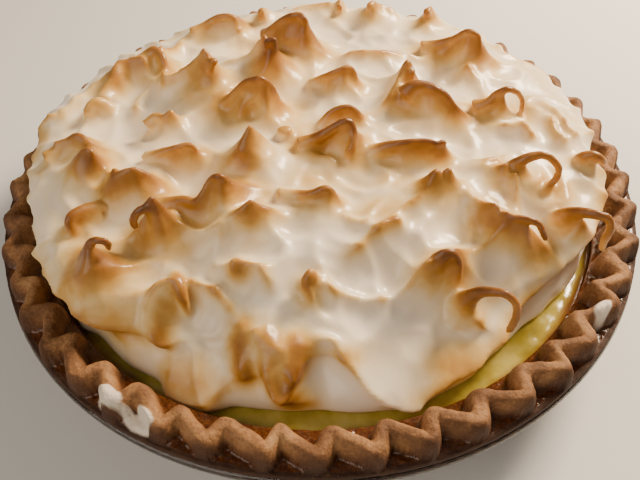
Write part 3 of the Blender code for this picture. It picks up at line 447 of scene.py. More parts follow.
# Soda-lime glass pressed in a mould: clear, with the faint waves that the mould leaves.
PRESSED_GLASS = Finish("pressed_soda_lime_glass", {
    "wave": Step(Node.NOISE, {"Vector": "where", "Scale": per_mm(14.0), "Detail": 1.0}),
    "bump": Step(Node.BUMP, {"Strength": 0.12, "Distance": 0.2 * MM, "Height": "wave"}),
    "surface": Step(Node.SURFACE, {
        "Base Color": linear("F4F9F8"), "Roughness": 0.02, "IOR": 1.5, "Transmission Weight": 1.0,
        "Normal": "bump"}),
})

# Short pastry, baked hard: a dry tan crumb with darker flecks, dark and wet where syrup pooled between the
# flutes, and white where dabs of meringue dried on it. Its crumb is drawn coarse, so that it shows.
BAKED_SHORT_PASTRY = Finish("baked_short_pastry", {
    "glaze": ATTRIBUTES["glaze"],
    "dab": ATTRIBUTES["dab"],
    "bake": ATTRIBUTES["bake"],
    "crumb": Step(Node.NOISE, {"Vector": "where", "Scale": per_mm(1.1), "Detail": 4.0, "Roughness": 0.65}),
    "patch": Step(Node.NOISE, {"Vector": "where", "Scale": per_mm(9.0), "Detail": 3.0}),
    "crumb_shade": Step(Node.MATH, {0: "crumb", 1: 0.55, 2: "patch"}, settings=MULTIPLY_ADD),
    "baked_shade": Step(Node.MATH, {0: "bake", 1: 0.9, 2: "crumb_shade"}, settings=MULTIPLY_ADD),
    "shade": Step(Node.MATH, {0: "baked_shade", 1: 0.6}, settings=MULTIPLY),
    "dry": Step(Node.RAMP, {"Fac": "shade"}, stops=(
        (0.27, "AD8759"), (1.0, "3A200E"), (0.42, "956A41"), (0.52, "754F2D"), (0.66, "57361B"))),
    "cells": Step(Node.CELLS, {"Vector": "where", "Scale": per_mm(2.2)}),
    "fleck": Step(Node.REMAP, {
        "Value": "cells", "From Min": 0.10, "From Max": 0.24, "To Min": 0.45, "To Max": 0.0}),
    "flecked": Step(Node.MIX, {0: "fleck", 6: "dry", 7: linear("6B4424")}, 2, COLOURS),
    "syrup": Step(Node.RAMP, {"Fac": "crumb"}, stops=((0.3, "351A08"), (0.75, "784A1E"), (0.55, "552D10"))),
    "glazed": Step(Node.MIX, {0: "glaze", 6: "flecked", 7: "syrup"}, 2, COLOURS),
    "whitened": Step(Node.MIX, {0: "dab", 6: "glazed", 7: linear("DDD2C0")}, 2, COLOURS),
    "rough": Step(Node.REMAP, {"Value": "glaze", "To Min": 0.72, "To Max": 0.16}),
    "grain": Step(Node.NOISE, {"Vector": "where", "Scale": per_mm(0.7), "Detail": 3.0}),
    "height": Step(Node.MATH, {0: "crumb", 1: "grain"}, settings=ADD),
    "depth": Step(Node.REMAP, {"Value": "glaze", "To Min": 0.55, "To Max": 0.12}),
    "bump": Step(Node.BUMP, {"Strength": "depth", "Distance": 0.55 * MM, "Height": "height"}),
    "surface": Step(Node.SURFACE, {
        "Base Color": "whitened", "Roughness": "rough", "IOR": 1.45, "Normal": "bump"}),
})

# Set lemon curd, a starch gel: light scatters in it under a wet, softly uneven skin. Its edge is painted
# brown
# against the crust: the colour of the glazed crust wall, and painted shade in the trench between curd and
# crust.
SET_LEMON_CURD = Finish("set_lemon_curd", {
    "cloud": Step(Node.NOISE, {"Vector": "where", "Scale": per_mm(9.0), "Detail": 3.0}),
    "gel": Step(Node.RAMP, {"Fac": "cloud"}, stops=((0.3, "9C8A2A"), (0.75, "CFC068"), (0.5, "B6A640"))),
    "rim": ATTRIBUTES["rim"],
    # Painted shade: the rim attribute browns the curd's edge towards the crust wall, in the crust glaze's
    # colour.
    "colour": Step(Node.MIX, {0: "rim", 6: "gel", 7: linear("7A4A1C")}, 2, COLOURS),
    "ripple": Step(Node.NOISE, {"Vector": "where", "Scale": per_mm(7.0), "Detail": 2.0}),
    "bump": Step(Node.BUMP, {"Strength": 0.5, "Distance": 0.8 * MM, "Height": "ripple"}),
    "surface": Step(Node.SURFACE, {
        "Base Color": "colour", "Roughness": 0.12, "IOR": 1.38, "Normal": "bump",
        "Subsurface Weight": 0.35, "Subsurface Scale": 3.0 * MM, "Subsurface Radius": (1.0, 0.8, 0.2),
        "Coat Weight": 0.5, "Coat Roughness": 0.05}),
})

# Baked egg-white foam: warm white and satin, turning through tan to dark caramel where the oven's heat came
# first.
TOASTED_MERINGUE = Finish("toasted_meringue", {
    "toast": ATTRIBUTES["toast"],
    "streak": Step(Node.NOISE, {"Vector": "where", "Scale": per_mm(6.0), "Detail": 4.0, "Distortion": 0.6}),
    "uneven": Step(Node.REMAP, {
        "Value": "streak", "From Min": 0.3, "From Max": 0.7, "To Min": 0.88, "To Max": 1.1}),
    "brown": Step(Node.MATH, {0: "toast", 1: "uneven"}, settings=MULTIPLY),
    "colour": Step(Node.RAMP, {"Fac": "brown"}, stops=(
        (0.0, "F7EAD4"), (1.0, "55300C"), (0.12, "F3E0BC"), (0.24, "E6C686"), (0.37, "CFA050"),
        (0.51, "AF7A30"), (0.76, "83511A"))),
    "rough": Step(Node.REMAP, {"Value": "brown", "From Max": 0.7, "To Min": 0.34, "To Max": 0.5}),
    "foam": Step(Node.NOISE, {"Vector": "where", "Scale": per_mm(1.6), "Detail": 3.0}),
    "bump": Step(Node.BUMP, {"Strength": 0.16, "Distance": 0.3 * MM, "Height": "foam"}),
    "surface": Step(Node.SURFACE, {
        "Base Color": "colour", "Roughness": "rough", "IOR": 1.42, "Normal": "bump",
        "Subsurface Weight": 0.25, "Subsurface Scale": 4.0 * MM, "Subsurface Radius": (1.0, 0.7, 0.5),
        "Coat Weight": 0.35, "Coat Roughness": 0.16}),
})

# Matt card under the pie, which only shows its shadow.
PALE_CARD = Finish("pale_card", {
    "tooth": Step(Node.NOISE, {"Vector": "where", "Scale": per_mm(3.0)}),
    "bump": Step(Node.BUMP, {"Strength": 0.05, "Distance": 0.1 * MM, "Height": "tooth"}),
    "surface": Step(Node.SURFACE, {"Base Color": linear("D9D9D6"), "Roughness": 0.8, "Normal": "bump"}),
})


def mesh_from(bm: bmesh.types.BMesh, name: str) -> bpy.types.Mesh:
    """Turn a bmesh into a mesh with its faces pointing out.

    Args:
        bm: the bmesh, which is freed.
        name: name for the mesh.

    Returns:
        The mesh.
    """
    bmesh.ops.recalc_face_normals(bm, faces=bm.faces)
    mesh = bpy.data.meshes.new(name)
    bm.to_mesh(mesh)
    bm.free()
    return mesh


def linked(name: str, data: bpy.types.ID) -> bpy.types.Object:
    """Link a new object to the scene, at the origin.

    Args:
        name: name for the object.
        data: its mesh, light or camera.

    Returns:
        The object.
    """
    made = bpy.data.objects.new(name, data)
    bpy.context.scene.collection.objects.link(made)
    return made


def place(name: str, mesh: bpy.types.Mesh, finish: Finish, node: str) -> bpy.types.Object:
    """Link a finished mesh as the piece that stands for a CAD node.

    Args:
        name: name for the piece.
        mesh: its mesh, with the piece's place in its points.
        finish: what it is made of.
        node: the CAD node, which it hides.

    Returns:
        The piece.
    """
    piece = linked(name, mesh)
    mesh.materials.clear()
    mesh.materials.append(finish.material())
    mesh.shade_smooth()
    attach(piece, BODY)
    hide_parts(node)
    mesh.calc_loop_triangles()
    log.info("%s: %d triangles", name, len(mesh.loop_triangles))
    return piece


def turned(profile: Outline, sectors: int, columns: int) -> bmesh.types.BMesh:
    """Spin a profile through one sector, then repeat the sector round the pie's axis.

    Args:
        profile: (radius, height) pairs in mm.
        sectors: how many sectors make the full turn.
        columns: steps in one sector.

    Returns:
        A bmesh of the turned surface.
    """
    bm = bmesh.new()
    points = [bm.verts.new((radius * MM, 0.0, height * MM)) for radius, height in profile]
    edges = [bm.edges.new(pair) for pair in zip(points, points[1:])]
    axis = {"cent": (0, 0, 0), "axis": (0, 0, 1)}
    bmesh.ops.spin(bm, geom=points + edges, angle=TAU / sectors, steps=columns, **axis)
    sector, rest = bm.verts[:] + bm.edges[:] + bm.faces[:], sectors - 1
    bmesh.ops.spin(bm, geom=sector, angle=TAU * rest / sectors, steps=rest, use_duplicate=True, **axis)
    bmesh.ops.remove_doubles(bm, verts=bm.verts, dist=WELD * MM)
    return bm


def evened(profile: Outline, step: float) -> Outline:
    """Put extra points on the long stretches of a profile.

    Args:
        profile: (radius, height) pairs in mm.
        step: the longest stretch to leave.

    Returns:
        The finer profile.
    """
    finer = [profile[0]]
    for start, end in zip(profile, profile[1:]):
        count = max(1, math.ceil(math.dist(start, end) / step))
        finer += [
            (start[0] + (end[0] - start[0]) * n / count, start[1] + (end[1] - start[1]) * n / count)
            for n in range(1, count + 1)]
    return finer


def points_of(mesh: bpy.types.Mesh) -> Array:
    """Read the points of a mesh.

    Args:
        mesh: the mesh.

    Returns:
        Rows of x, y and z in mm.
    """
    flat = np.empty(len(mesh.vertices) * 3, np.float32)
    mesh.vertices.foreach_get("co", flat)
    return flat.reshape(-1, 3).astype(np.float64) / MM


def set_points(mesh: bpy.types.Mesh, points: Array) -> None:
    """Move the mesh's points to rows of x, y and z in mm."""
    mesh.vertices.foreach_set("co", (points * MM).astype(np.float32).ravel())
    mesh.update()


def set_attribute(mesh: bpy.types.Mesh, name: str, values: Array) -> None:
    """Store one number for each of the mesh's points."""
    attribute = mesh.attributes.new(name, "FLOAT", "POINT")
    attribute.data.foreach_set("value", values.astype(np.float32))


def polar(points: Array) -> tuple[Array, Array]:
    """Angle in radians and distance from the pie's axis of rows of x, y and z."""
    return np.arctan2(points[:, 1], points[:, 0]), np.hypot(points[:, 0], points[:, 1])


def turn_from(middle: float, degrees: Array) -> Array:
    """How far angles lie from a middle one, in degrees from -180 to 180."""
    return (degrees - middle + 180) % 360 - 180


def lumps(points: Array, size: float, seed: float, octaves: int = 1) -> Array:
    """Smooth noise from about -1 to 1.

    Args:
        points: rows of x, y and z in mm.
        size: length of a lump in mm.
        seed: moves the pattern.
        octaves: how many finer layers are added.

    Returns:
        One value for each point.
    """
    offset = Vector((seed, -seed, 0.5 * seed))
    return np.array([
        noise.fractal(Vector(point) / size + offset, 0.9, 2.1, octaves) for point in points.tolist()])


def smooth_step(values: Array, low: float, high: float) -> Array:
    """Ease from 0 at low to 1 at high."""
    share = np.clip((values - low) / (high - low), 0, 1)
    return share * share * (3 - 2 * share)


@dataclass
class Dish:
    """The clear glass pie dish, turned with round edges and a low foot ring."""

    height: float = 36.0
    rim_radius: float = 125.0
    mouth_radius: float = 115.0
    floor_radius: float = 89.0
    glass: float = 4.5
    facet: float = 6.0
    sectors: int = 20
    columns: int = 12
    finish: Finish = PRESSED_GLASS

    def profile(self) -> Outline:
        """The section of the glass.

        Returns:
            (radius, height) pairs from the middle of the floor, over the rim and back under the foot.
        """
        floor, top = self.glass, self.height
        inner, mouth, rim = self.floor_radius, self.mouth_radius, self.rim_radius
        return [
            (0, floor), (inner - 4, floor), (inner - 1.4, floor + 0.4), (inner, floor + 1.8),
            (mouth - 1.2, top - 1.5), (mouth - 0.5, top - 0.5), (mouth + 0.8, top), (rim - 1.5, top),
            (rim - 0.7, top - 0.25), (rim - 0.15, top - 0.8), (rim, top - 1.5), (rim - 0.2, top - 2.6),
            (rim - 0.8, top - 3.4), (mouth + 2.6, top - 4.6), (inner + 3.0, 1.6), (inner + 1.4, 0.3),
            (inner, 0), (inner - 5, 0), (inner - 6, 0.5), (0, 0.5)]

    def build(self) -> bpy.types.Object:
        """Turn the dish.

        Returns:
            The piece.
        """
        bm = turned(evened(self.profile(), self.facet), self.sectors, self.columns)
        return place("glass_dish", mesh_from(bm, "glass_dish"), self.finish, "dish")


@dataclass
class Crust:
    """The pastry lining, its apron on the dish's rim, and the rope of flutes pinched by hand.

    The rope's fields whose names start with uneven say how much one flute may differ from the next. A dab is
    an angle in degrees, a radius, a length and a width.
    """

    dish: Dish
    gap: float = 0.4
    lining: float = 3.8
    filling_level: float = 31.0
    filling_radius: float = 108.5
    apron_radius: float = 124.4
    apron_thick: float = 2.6
    apron_slope: float = 0.35
    flutes: int = 46
    rope_middle: float = 116.8
    rope_swing: float = 3.7
    rope_half_width: float = 3.3
    rope_height: float = 8.6
    rope_roundness: float = 0.55
    uneven_over: int = 5
    uneven_turn: float = 0.022
    uneven_swing: float = 0.8
    uneven_width: float = 0.2
    uneven_height: float = 0.14
    columns: int = 22
    rows: int = 38
    crumb_height: float = 0.4
    grain_height: float = 0.15
    dabs: Rows = ((-123.5, 120, 12, 6), (-118, 120.5, 13, 6), (-38.5, 118, 9, 5))
    dab_thick: float = 1.8
    dab_raggedness: float = 0.35
    finish: Finish = BAKED_SHORT_PASTRY

    @property
    def wall(self) -> float:
        """Radius of the rope's inner foot."""
        return self.rope_middle - self.rope_swing - self.rope_half_width

    @property
    def apron_top(self) -> float:
        """Height of the apron's upper side."""
        return self.dish.height + self.gap + self.apron_thick

    def profile(self) -> Outline:
        """The section of the dough before its rope is raised.

        Returns:
            (radius, height) pairs from the middle of the underside, over the apron, to the middle inside.
        """
        dish, rim_top = self.dish, self.dish.height + self.gap
        inner, mouth, apron = dish.floor_radius, dish.mouth_radius, self.apron_radius
        base, floor = dish.glass + self.gap, dish.glass + self.lining
        under = [
            (0, base), (inner - 4.4, base), (inner - 0.7, dish.glass + 2.3), (mouth - 1.8, rim_top - 1.9),
            (mouth + 0.6, rim_top), (apron - 0.4, rim_top), (apron, rim_top + 0.8)]
        outer, top = apron - 0.3, []
        for row in range(self.rows + 1):
            radius = outer - (outer - self.wall + 1.0) * row / self.rows
            top.append((radius, self.apron_top - self.apron_slope * max(0.0, self.wall + 3.0 - radius)))
        inside = [
            (self.filling_radius + 0.9, self.filling_level + 1), (inner - 3.2, floor + 2), (inner - 7, floor),
            (0, floor)]
        return evened(under, 8.0) + top + evened([top[-1]] + inside, 6.0)[1:]

    def rope_crest(self, steps: int = 16) -> Outline:
        """One flute and its neighbours, unrolled flat.

        Args:
            steps: points along one flute.

        Returns:
            (along, outward) pairs in mm from the mean crest.
        """
        pitch = TAU * self.rope_middle / self.flutes
        crest = []
        for step in range(-steps, 2 * steps + 1):
            phase = TAU * step / steps
            swing = (math.sin(phase) - 0.42 * math.sin(2 * phase) + 0.12 * math.sin(3 * phase)) / 1.25
            crest.append((step * pitch / steps, self.rope_swing * swing))
        return crest

    def uneven(self, angle: Array, seed: float) -> Array:
        """Slow change round the rim that makes each hand-pinched flute its own size.

        Args:
            angle: places round the rim in radians.
            seed: moves the pattern.

        Returns:
            Values from -1 to 1.
        """
        reach = self.flutes / self.uneven_over
        return np.array([
            noise.noise(Vector((math.cos(a) * reach, math.sin(a) * reach, seed))) for a in angle.tolist()])

    def rope_lift(self, angle: Array, radius: Array) -> Array:
        """How much the rope raises the dough.

        Args:
            angle: places round the rim in radians.
            radius: their distances from the axis in mm.

        Returns:
            The lift at each place, as a share of the rope's height.
        """
        pitch = TAU * self.rope_middle / self.flutes
        along = np.mod((angle + self.uneven_turn * self.uneven(angle, 9.0)) * self.rope_middle, pitch)
        outward = radius - self.rope_middle - self.uneven_swing * self.uneven(angle, 3.0)
        outward /= 1 + self.uneven_width * self.uneven(angle, 5.0)
        nearest = np.full(along.shape, 99.0)
        crest = self.rope_crest()
        for (x0, y0), (x1, y1) in zip(crest, crest[1:]):
            dx, dy = x1 - x0, y1 - y0
            share = np.clip(((along - x0) * dx + (outward - y0) * dy) / (dx * dx + dy * dy), 0, 1)
            nearest = np.minimum(nearest, np.hypot(along - x0 - share * dx, outward - y0 - share * dy))
        height = np.maximum(0.0, 1 - (nearest / self.rope_half_width) ** 3) ** self.rope_roundness
        return height * (1 + self.uneven_height * self.uneven(angle, 7.0))

    def dab_lift(self, x: Array, y: Array) -> Array:
        """How thick the dried white dabs lie.

        Args:
            x: places along the first axis in mm.
            y: the same places along the second axis.

        Returns:
            The share of full thickness at each place.
        """
        thick = np.zeros(x.shape)
        for degrees, radius, length, width in self.dabs:
            angle = math.radians(degrees)
            across = x * math.cos(angle) + y * math.sin(angle) - radius
            along = y * math.cos(angle) - x * math.sin(angle)
            thick = np.maximum(thick, 1 - (2 * along / length) ** 2 - (2 * across / width) ** 2)
        return thick

    def build(self) -> bpy.types.Object:
        """Turn the dough, raise its rope and mark where it is glazed.

        Returns:
            The piece.
        """
        mesh = mesh_from(turned(self.profile(), self.flutes, self.columns), "crust_rope")
        points = points_of(mesh)
        x, y, z = points.T
        angle, radius = polar(points)
        top = (radius > self.wall - 1.4) & (z > self.apron_top - 2.4)
        lift, dab, crumbs = np.zeros((3, len(z)))
        lift[top] = self.rope_lift(angle[top], radius[top])
        dab[top] = self.dab_lift(x[top], y[top])
        points[:, 2] += self.rope_height * lift
        crumbs[top] = self.crumb_height * lumps(points[top], 3.2, 4.0, 3)
        crumbs[top] += self.grain_height * lumps(points[top], 1.4, 8.0, 2)
        ragged = (dab + self.dab_raggedness * crumbs) * (dab > 0)
        points[:, 2] += self.dab_thick * np.clip(ragged, 0, 1) ** 0.6 + crumbs
        set_points(mesh, points)
        inside = (radius < self.rope_middle + 6) & (z > self.filling_level - 2)
        glaze = smooth_step(0.42 - lift + 0.5 * crumbs, 0.0, 0.35) * inside
        set_attribute(mesh, "glaze", np.clip(glaze, 0, 1))
        set_attribute(mesh, "dab", smooth_step(ragged, 0.0, 0.25))
        set_attribute(mesh, "bake", smooth_step(radius, 119.0, 124.0) * (1 - 0.6 * lift))
        return place("crust_rope", mesh, self.finish, "crust")


@dataclass
class Filling:
    """The lemon filling, whose wet edge climbs the crust a little."""

    crust: Crust
    gap: float = 0.6
    flat_radius: float = 84.0
    rings: int = 30
    wave: float = 0.45
    climb: float = 1.0
    painted_shade_wave: float = 1.2
    sectors: int = 30
    columns: int = 24
    finish: Finish = SET_LEMON_CURD

    def build(self) -> bpy.types.Object:
        """Turn the filling and leave its top as uneven as set curd.

        Returns:
            The piece.
        """
        crust, dish, flat = self.crust, self.crust.dish, self.flat_radius
        level, bottom = crust.filling_level, dish.glass + crust.lining + self.gap
        edge, foot = crust.filling_radius + self.gap, dish.floor_radius
        profile = [(0, level), (flat, level)]
        profile += [(flat + (edge - flat) * n / self.rings, level) for n in range(1, self.rings + 1)]
        profile += [(edge - 1.0, level - 1.4), (foot - 5.4, bottom + 2.2), (foot - 9.4, bottom), (0, bottom)]
        mesh = mesh_from(turned(profile, self.sectors, self.columns), "lemon_curd")
        points = points_of(mesh)
        _, radius = polar(points)
        top = points[:, 2] > level - 0.1
        swell = self.wave * lumps(points[top], 11.0, 2.0, 2) - 0.2
        swell += self.climb * smooth_step(radius[top], edge - 3.0, edge)
        points[top, 2] += swell * smooth_step(radius[top], flat - 4, flat + 4)
        set_points(mesh, points)
        # Painted shade: a brown band over the last few mm before the crust wall, standing in for the glazed
        # wall in shadow.
        painted_shade_edge = radius + self.painted_shade_wave * lumps(points, 9.0, 6.0, 2)
        set_attribute(mesh, "rim", smooth_step(painted_shade_edge, edge - 4.5, edge - 0.5))
        return place("lemon_curd", mesh, self.finish, "lemon_filling")


@dataclass(frozen=True)
class Flank:
    """How the flanks of a crest fall: in a hollow curve, steep at the top and wide below.

    Args:
        crest: length over which the steep part falls, as a share of the crest's width.
        skirt: the same for the wide part.
        steep: the steep part's share of the height.
        wide: the wide part's share of the height.
        crest_growth: how much longer the steep part gets with each mm of rise.
        skirt_growth: the same for the wide part.
    """

    crest: float
    skirt: float
    steep: float = 0.78
    wide: float = 0.25
    crest_growth: float = 0.055
    skirt_growth: float = 0.05

    def fall(self, squared: Array, width: float, rise: float) -> Array:
        """Height of the flank round one place of a crest.

        Args:
            squared: squares of distances from the place in mm.
            width: half the width of the crest.
            rise: height of the crest there.

        Returns:
            The height at each distance.
        """
        crest = self.crest * width * (1 + self.crest_growth * rise)
        skirt = self.skirt * width * (1 + self.skirt_growth * rise)
        steep, wide = np.exp(-(np.sqrt(squared + 1.0) - 1.0) / crest), np.exp(-squared / skirt**2)
        return rise * (self.steep * steep + self.wide * wide)


@dataclass
class Meringue:
    """The meringue: a mound with lobes at its edge, raised into ridges and pulled peaks, and toasted.

    Rows of edge are an angle in degrees and a radius. Rows of side are a share of that radius and a share of
    the height. Rows of leans are an angle, how wide the lean spreads in degrees and how far it reaches.
    """

    filling_level: float = 31.0
    gap: float = 0.6
    shoulder_level: float = 59.5
    crown_rise: float = 6.5
    crown_radius: float = 95.0
    lean_from: float = 49.5
    sectors: int = 20
    columns: int = 12
    mound_voxel: float = 1.1
    fuse_voxel: float = 0.9
    smoothings: int = 3
    path_step: float = 1.2
    flare: float = 7.0
    front: float = 276.0
    front_spread: float = 52.0
    tip_share: float = 0.72
    round_from: float = 0.9
    round_over: float = 0.1
    tube_sides: int = 12
    tube_rings: int = 20
    most_triangles: int = 190000
    edge: Rows = (
        (0, 108), (50, 108), (90, 107), (130, 107), (180, 107), (200, 106), (211, 107), (217, 107),
        (222, 103.5), (231, 104), (238, 102.5), (242, 107), (248, 105), (254, 100.5), (262, 100),
        (274, 101), (284, 101), (296, 101), (306, 98.5), (314, 98.5), (321, 101), (333, 104.5), (345, 106))
    side: Rows = (
        (1.0, 0.0), (1.008, 0.07), (1.0, 0.22), (0.985, 0.42), (0.965, 0.62), (0.93, 0.82), (0.885, 0.95),
        (0.83, 1.0))
    under: Rows = ((60, 1.0), (30, 1.0), (0, 1.0))
    leans: Rows = ((168, 27, 11), (203, 12, 5), (224, 11, 11), (10, 34, 6), (130, 20, 3), (335, 14, 5))
    slump_depth: float = 8.0
    slump_run: float = 0.62
    inside_radius: float = 107.4
    rope_clear: float = 51.0
    ridge_gain: float = 1.25
    ridge_flank: Flank = Flank(0.4, 1.6)
    web_flank: Flank = Flank(0.42, 1.1)
    half_web_flank: Flank = Flank(0.22, 0.8)
    cone_flank: Flank = Flank(0.34, 1.0)
    side_flank: Flank = Flank(0.4, 1.4, 0.75, 0.25, 0, 0)
    mean_radius: float = 100.0
    fold_height: float = 2.0
    fine_fold_height: float = 0.6
    fold_sharpness: float = 2.2
    fold_bend: float = 3.0
    side_fold_share: float = 0.8
    peak_fade: float = 3.5
    fade_per_rise: float = 0.58
    ridge_fade: float = 4.5
    side_fade: float = 6.5
    deepest_toast: float = 0.86
    core_share: float = 0.2
    patchiness: float = 0.2
    finish: Finish = TOASTED_MERINGUE

    @property
    def foot(self) -> float:
        """Height of the meringue's flat underside."""
        return self.filling_level + self.gap

    def edge_radius(self, angle: Array) -> Array:
        """Radius of the meringue's edge, eased between the places read from its outline.

        Args:
            angle: places round the rim in degrees.

        Returns:
            The radius at each place in mm.
        """
        angles = [known for known, _ in self.edge] + [360 + self.edge[0][0]]
        radii = [radius for _, radius in self.edge] + [self.edge[0][1]]
        wrapped = np.mod(angle, 360.0)
        index = np.clip(np.searchsorted(angles, wrapped, side="right") - 1, 0, len(self.edge) - 1)
        low = np.take(angles, index)
        share = (wrapped - low) / (np.take(angles, index + 1) - low)
        eased = (1 - np.cos(np.pi * share)) / 2
        return np.take(radii, index) * (1 - eased) + np.take(radii, index + 1) * eased

    def crown(self, x: Array, y: Array) -> Array:
        """Level of the mound under the peaks."""
        outward = np.clip(np.hypot(x, y) / self.crown_radius, 0, 1)
        return self.shoulder_level + self.crown_rise * (1 - outward**2)

    def on_crown(self, point: Point) -> Vector:
        """Turn (x, y, rise) into a place in mm."""
        x, y, rise = point
        return Vector((x, y, float(self.crown(np.float64(x), np.float64(y))) + rise))

    def mound(self) -> bpy.types.Mesh:
        """The plain mound: turned, cut in to its edge and leant out over the crust above the rope.

        Returns:
            Its mesh, in even small faces.
        """
        side = [(self.mean_radius * share, height) for share, height in self.side]
        profile = [(radius, height / MM) for radius, height in [(0, 0), *side, *self.under]]
        mesh = mesh_from(turned(profile, self.sectors, self.columns), "mound")
        points = points_of(mesh)
        angle = np.degrees(polar(points)[0])
        points[:, :2] *= (self.edge_radius(angle) / self.mean_radius)[:, None]
        level = self.crown(points[:, 0], points[:, 1])
        points[:, 2] = self.foot + points[:, 2] * MM * (level - self.foot)
        _, radius = polar(points)
        lean = sum(
            reach * np.exp(-((turn_from(middle, angle) / spread) ** 2))
            for middle, spread, reach in self.leans)
        rise = np.clip((points[:, 2] - self.lean_from) / 5, 0, 1) * np.clip((radius - 60) / 30, 0, 1)
        points[:, :2] *= (1 + lean * rise / np.maximum(radius, 1))[:, None]
        set_points(mesh, points)
        return self.remeshed(mesh, self.mound_voxel)

    @staticmethod
    def remeshed(mesh: bpy.types.Mesh, voxel: float, most: int = 0) -> bpy.types.Mesh:
        """Rebuild a mesh in even faces, with all that overlaps fused.

        Args:
            mesh: the mesh to rebuild.
            voxel: if not 0, the size of the new faces in mm.
            most: if not 0, the most triangles to keep.

        Returns:
            The new mesh.
        """
        working = linked("working", mesh)
        if voxel:
            fuse = working.modifiers.new("fuse", "REMESH")
            fuse.mode = "VOXEL"
            fuse.voxel_size = voxel * MM
        if most:
            mesh.calc_loop_triangles()
            thin = working.modifiers.new("thin", "DECIMATE")
            thin.ratio = min(1.0, most / len(mesh.loop_triangles))
        graph = bpy.context.evaluated_depsgraph_get()
        made = bpy.data.meshes.new_from_object(working.evaluated_get(graph))
        bpy.data.objects.remove(working)
        return made

    def places(self, path: tuple[Point, ...]) -> list[Point]:
        """Fill a path with places about a millimetre apart.

        Args:
            path: the path's corners.

        Returns:
            All its places, with the corners.
        """
        found = [path[0]]
        for start, end in zip(path, path[1:]):
            count = max(1, round(math.dist(start, end) / self.path_step))
            found += [tuple(a + (b - a) * n / count for a, b in zip(start, end)) for n in range(1, count + 1)]
        return found

    def flanks(self, points: Array, path: tuple[Point, ...], width: float, flank: Flank) -> Array:
        """Height of a crest on the mound.

        Args:
            points: rows of x and y in mm.
            path: the crest as (x, y, rise) places.
            width: half the width of the crest.
            flank: how its flanks fall.

        Returns:
            The height at each point.
        """
        height, margin = np.zeros(len(points)), 4 * flank.skirt * width + 14
        low, high = np.min(path, axis=0)[:2] - margin, np.max(path, axis=0)[:2] + margin
        near = ((points[:, :2] > low) & (points[:, :2] < high)).all(axis=1)
        x, y = points[near, 0], points[near, 1]
        best = np.zeros(x.shape)
        for px, py, rise in self.places(path):
            if rise > 0:
                best = np.maximum(best, flank.fall((x - px) ** 2 + (y - py) ** 2, width, rise))
        height[near] = best
        return height

    def peak_foot(self, points: Array, peak: Peak) -> Array:
        """Height of the web or cone that a peak stands on.

        Args:
            points: rows of x and y in mm.
            peak: the peak.

        Returns:
            The height at each point.
        """
        width, spine = (peak.reach + peak.girth) / 2, peak.spine
        if peak.webbed == len(spine):
            return self.flanks(points, spine, width, self.web_flank)
        if peak.webbed:
            return self.flanks(points, spine[:peak.webbed], width, self.half_web_flank)
        (x0, y0, _), (x1, y1, _) = spine[0], spine[-1]
        middle = ((x0 + x1) / 2, (y0 + y1) / 2, 0.9 * max(place[2] for place in spine))
        return self.flanks(points, (middle,), width, self.cone_flank)

    def relief(self, points: Array) -> Array:
        """Height that ridges, the feet of peaks and the spoon's hollows add to the mound.

        Args:
            points: rows of x, y and z in mm.

        Returns:
            The added height at each point.
        """
        squared = np.zeros(len(points))
        for ridge in RIDGES:
            squared += (self.ridge_gain * self.flanks(points, ridge.path, ridge.width, self.ridge_flank)) ** 2
        for peak in PEAKS.values():
            squared += self.peak_foot(points, peak) ** 2
        raised = np.sqrt(squared)
        for x, y, radius, depth in HOLLOWS:
            raised -= depth * np.exp(-((points[:, 0] - x) ** 2 + (points[:, 1] - y) ** 2) / radius**2)
        return raised

    def side_radius(self, angle: float, height: float) -> float:
        """How far out the mound's side is.

        Args:
            angle: a place round the rim in degrees.
            height: its height in mm.

        Returns:
            The radius there in mm.
        """
        share = (height - self.foot) / (self.shoulder_level - self.foot)
        grown = np.interp(share, [place[1] for place in self.side], [place[0] for place in self.side])
        return float(self.edge_radius(np.array([angle]))[0] * grown)

    def slump(self, points: Array) -> None:
        """Let the front sink towards the filling, so that it slopes where the other sides stand.

        Args:
            points: rows of x, y and z in mm, which move.
        """
        angle, radius = polar(points)
        front = np.exp(-((turn_from(self.front, np.degrees(angle)) / self.front_spread) ** 4))
        outer = smooth_step(radius, 56, 90)
        sunk = self.slump_depth * front * outer * smooth_step(points[:, 2], self.foot, 59)
        points[:, 2] -= sunk
        points[:, 1] += self.slump_run * sunk

    def hold_in(self, points: Array) -> None:
        """Keep points off the crust's wall and its rope.

        Args:
            points: rows of x, y and z in mm, which move.
        """
        reach = self.inside_radius + 1.5 * np.maximum(points[:, 2] - self.rope_clear, 0)
        points[:, :2] *= np.minimum(1, reach / np.maximum(polar(points)[1], 1))[:, None]

    def side_crest(self, degrees: Array, height: Array, ridge: Ridge) -> Array:
        """How far a crest stands out of the mound's side.

        Args:
            degrees: the points' angles.
            height: their heights in mm.
            ridge: the crest.

        Returns:
            The distance at each point in mm.
        """
        best = np.zeros(height.shape)
        for middle, level, out in self.places(ridge.path):
            along = np.radians(turn_from(middle, degrees)) * self.mean_radius
            fall = self.side_flank.fall(along**2 + (height - level) ** 2, ridge.width, out)
            best = np.maximum(best, fall)
        return best

    def folds(self, points: Array) -> Array:
        """Small folds that the spoon leaves everywhere: sharp low crests with round hollows between.

        Args:
            points: rows of x, y and z in mm.

        Returns:
            Their height at each point, below zero in a hollow.
        """
        flat = points.copy()
        flat[:, 2] *= 0.4
        flat[:, :2] += self.fold_bend * np.column_stack([lumps(flat, 18.0, 3.0), lumps(flat, 18.0, 7.0)])
        broad = 1 - np.abs(lumps(flat, 17.0, 21.0)) * self.fold_sharpness
        fine = 1 - np.abs(lumps(flat, 8.0, 33.0)) * self.fold_sharpness
        return self.fold_height * broad * np.abs(broad) + self.fine_fold_height * fine

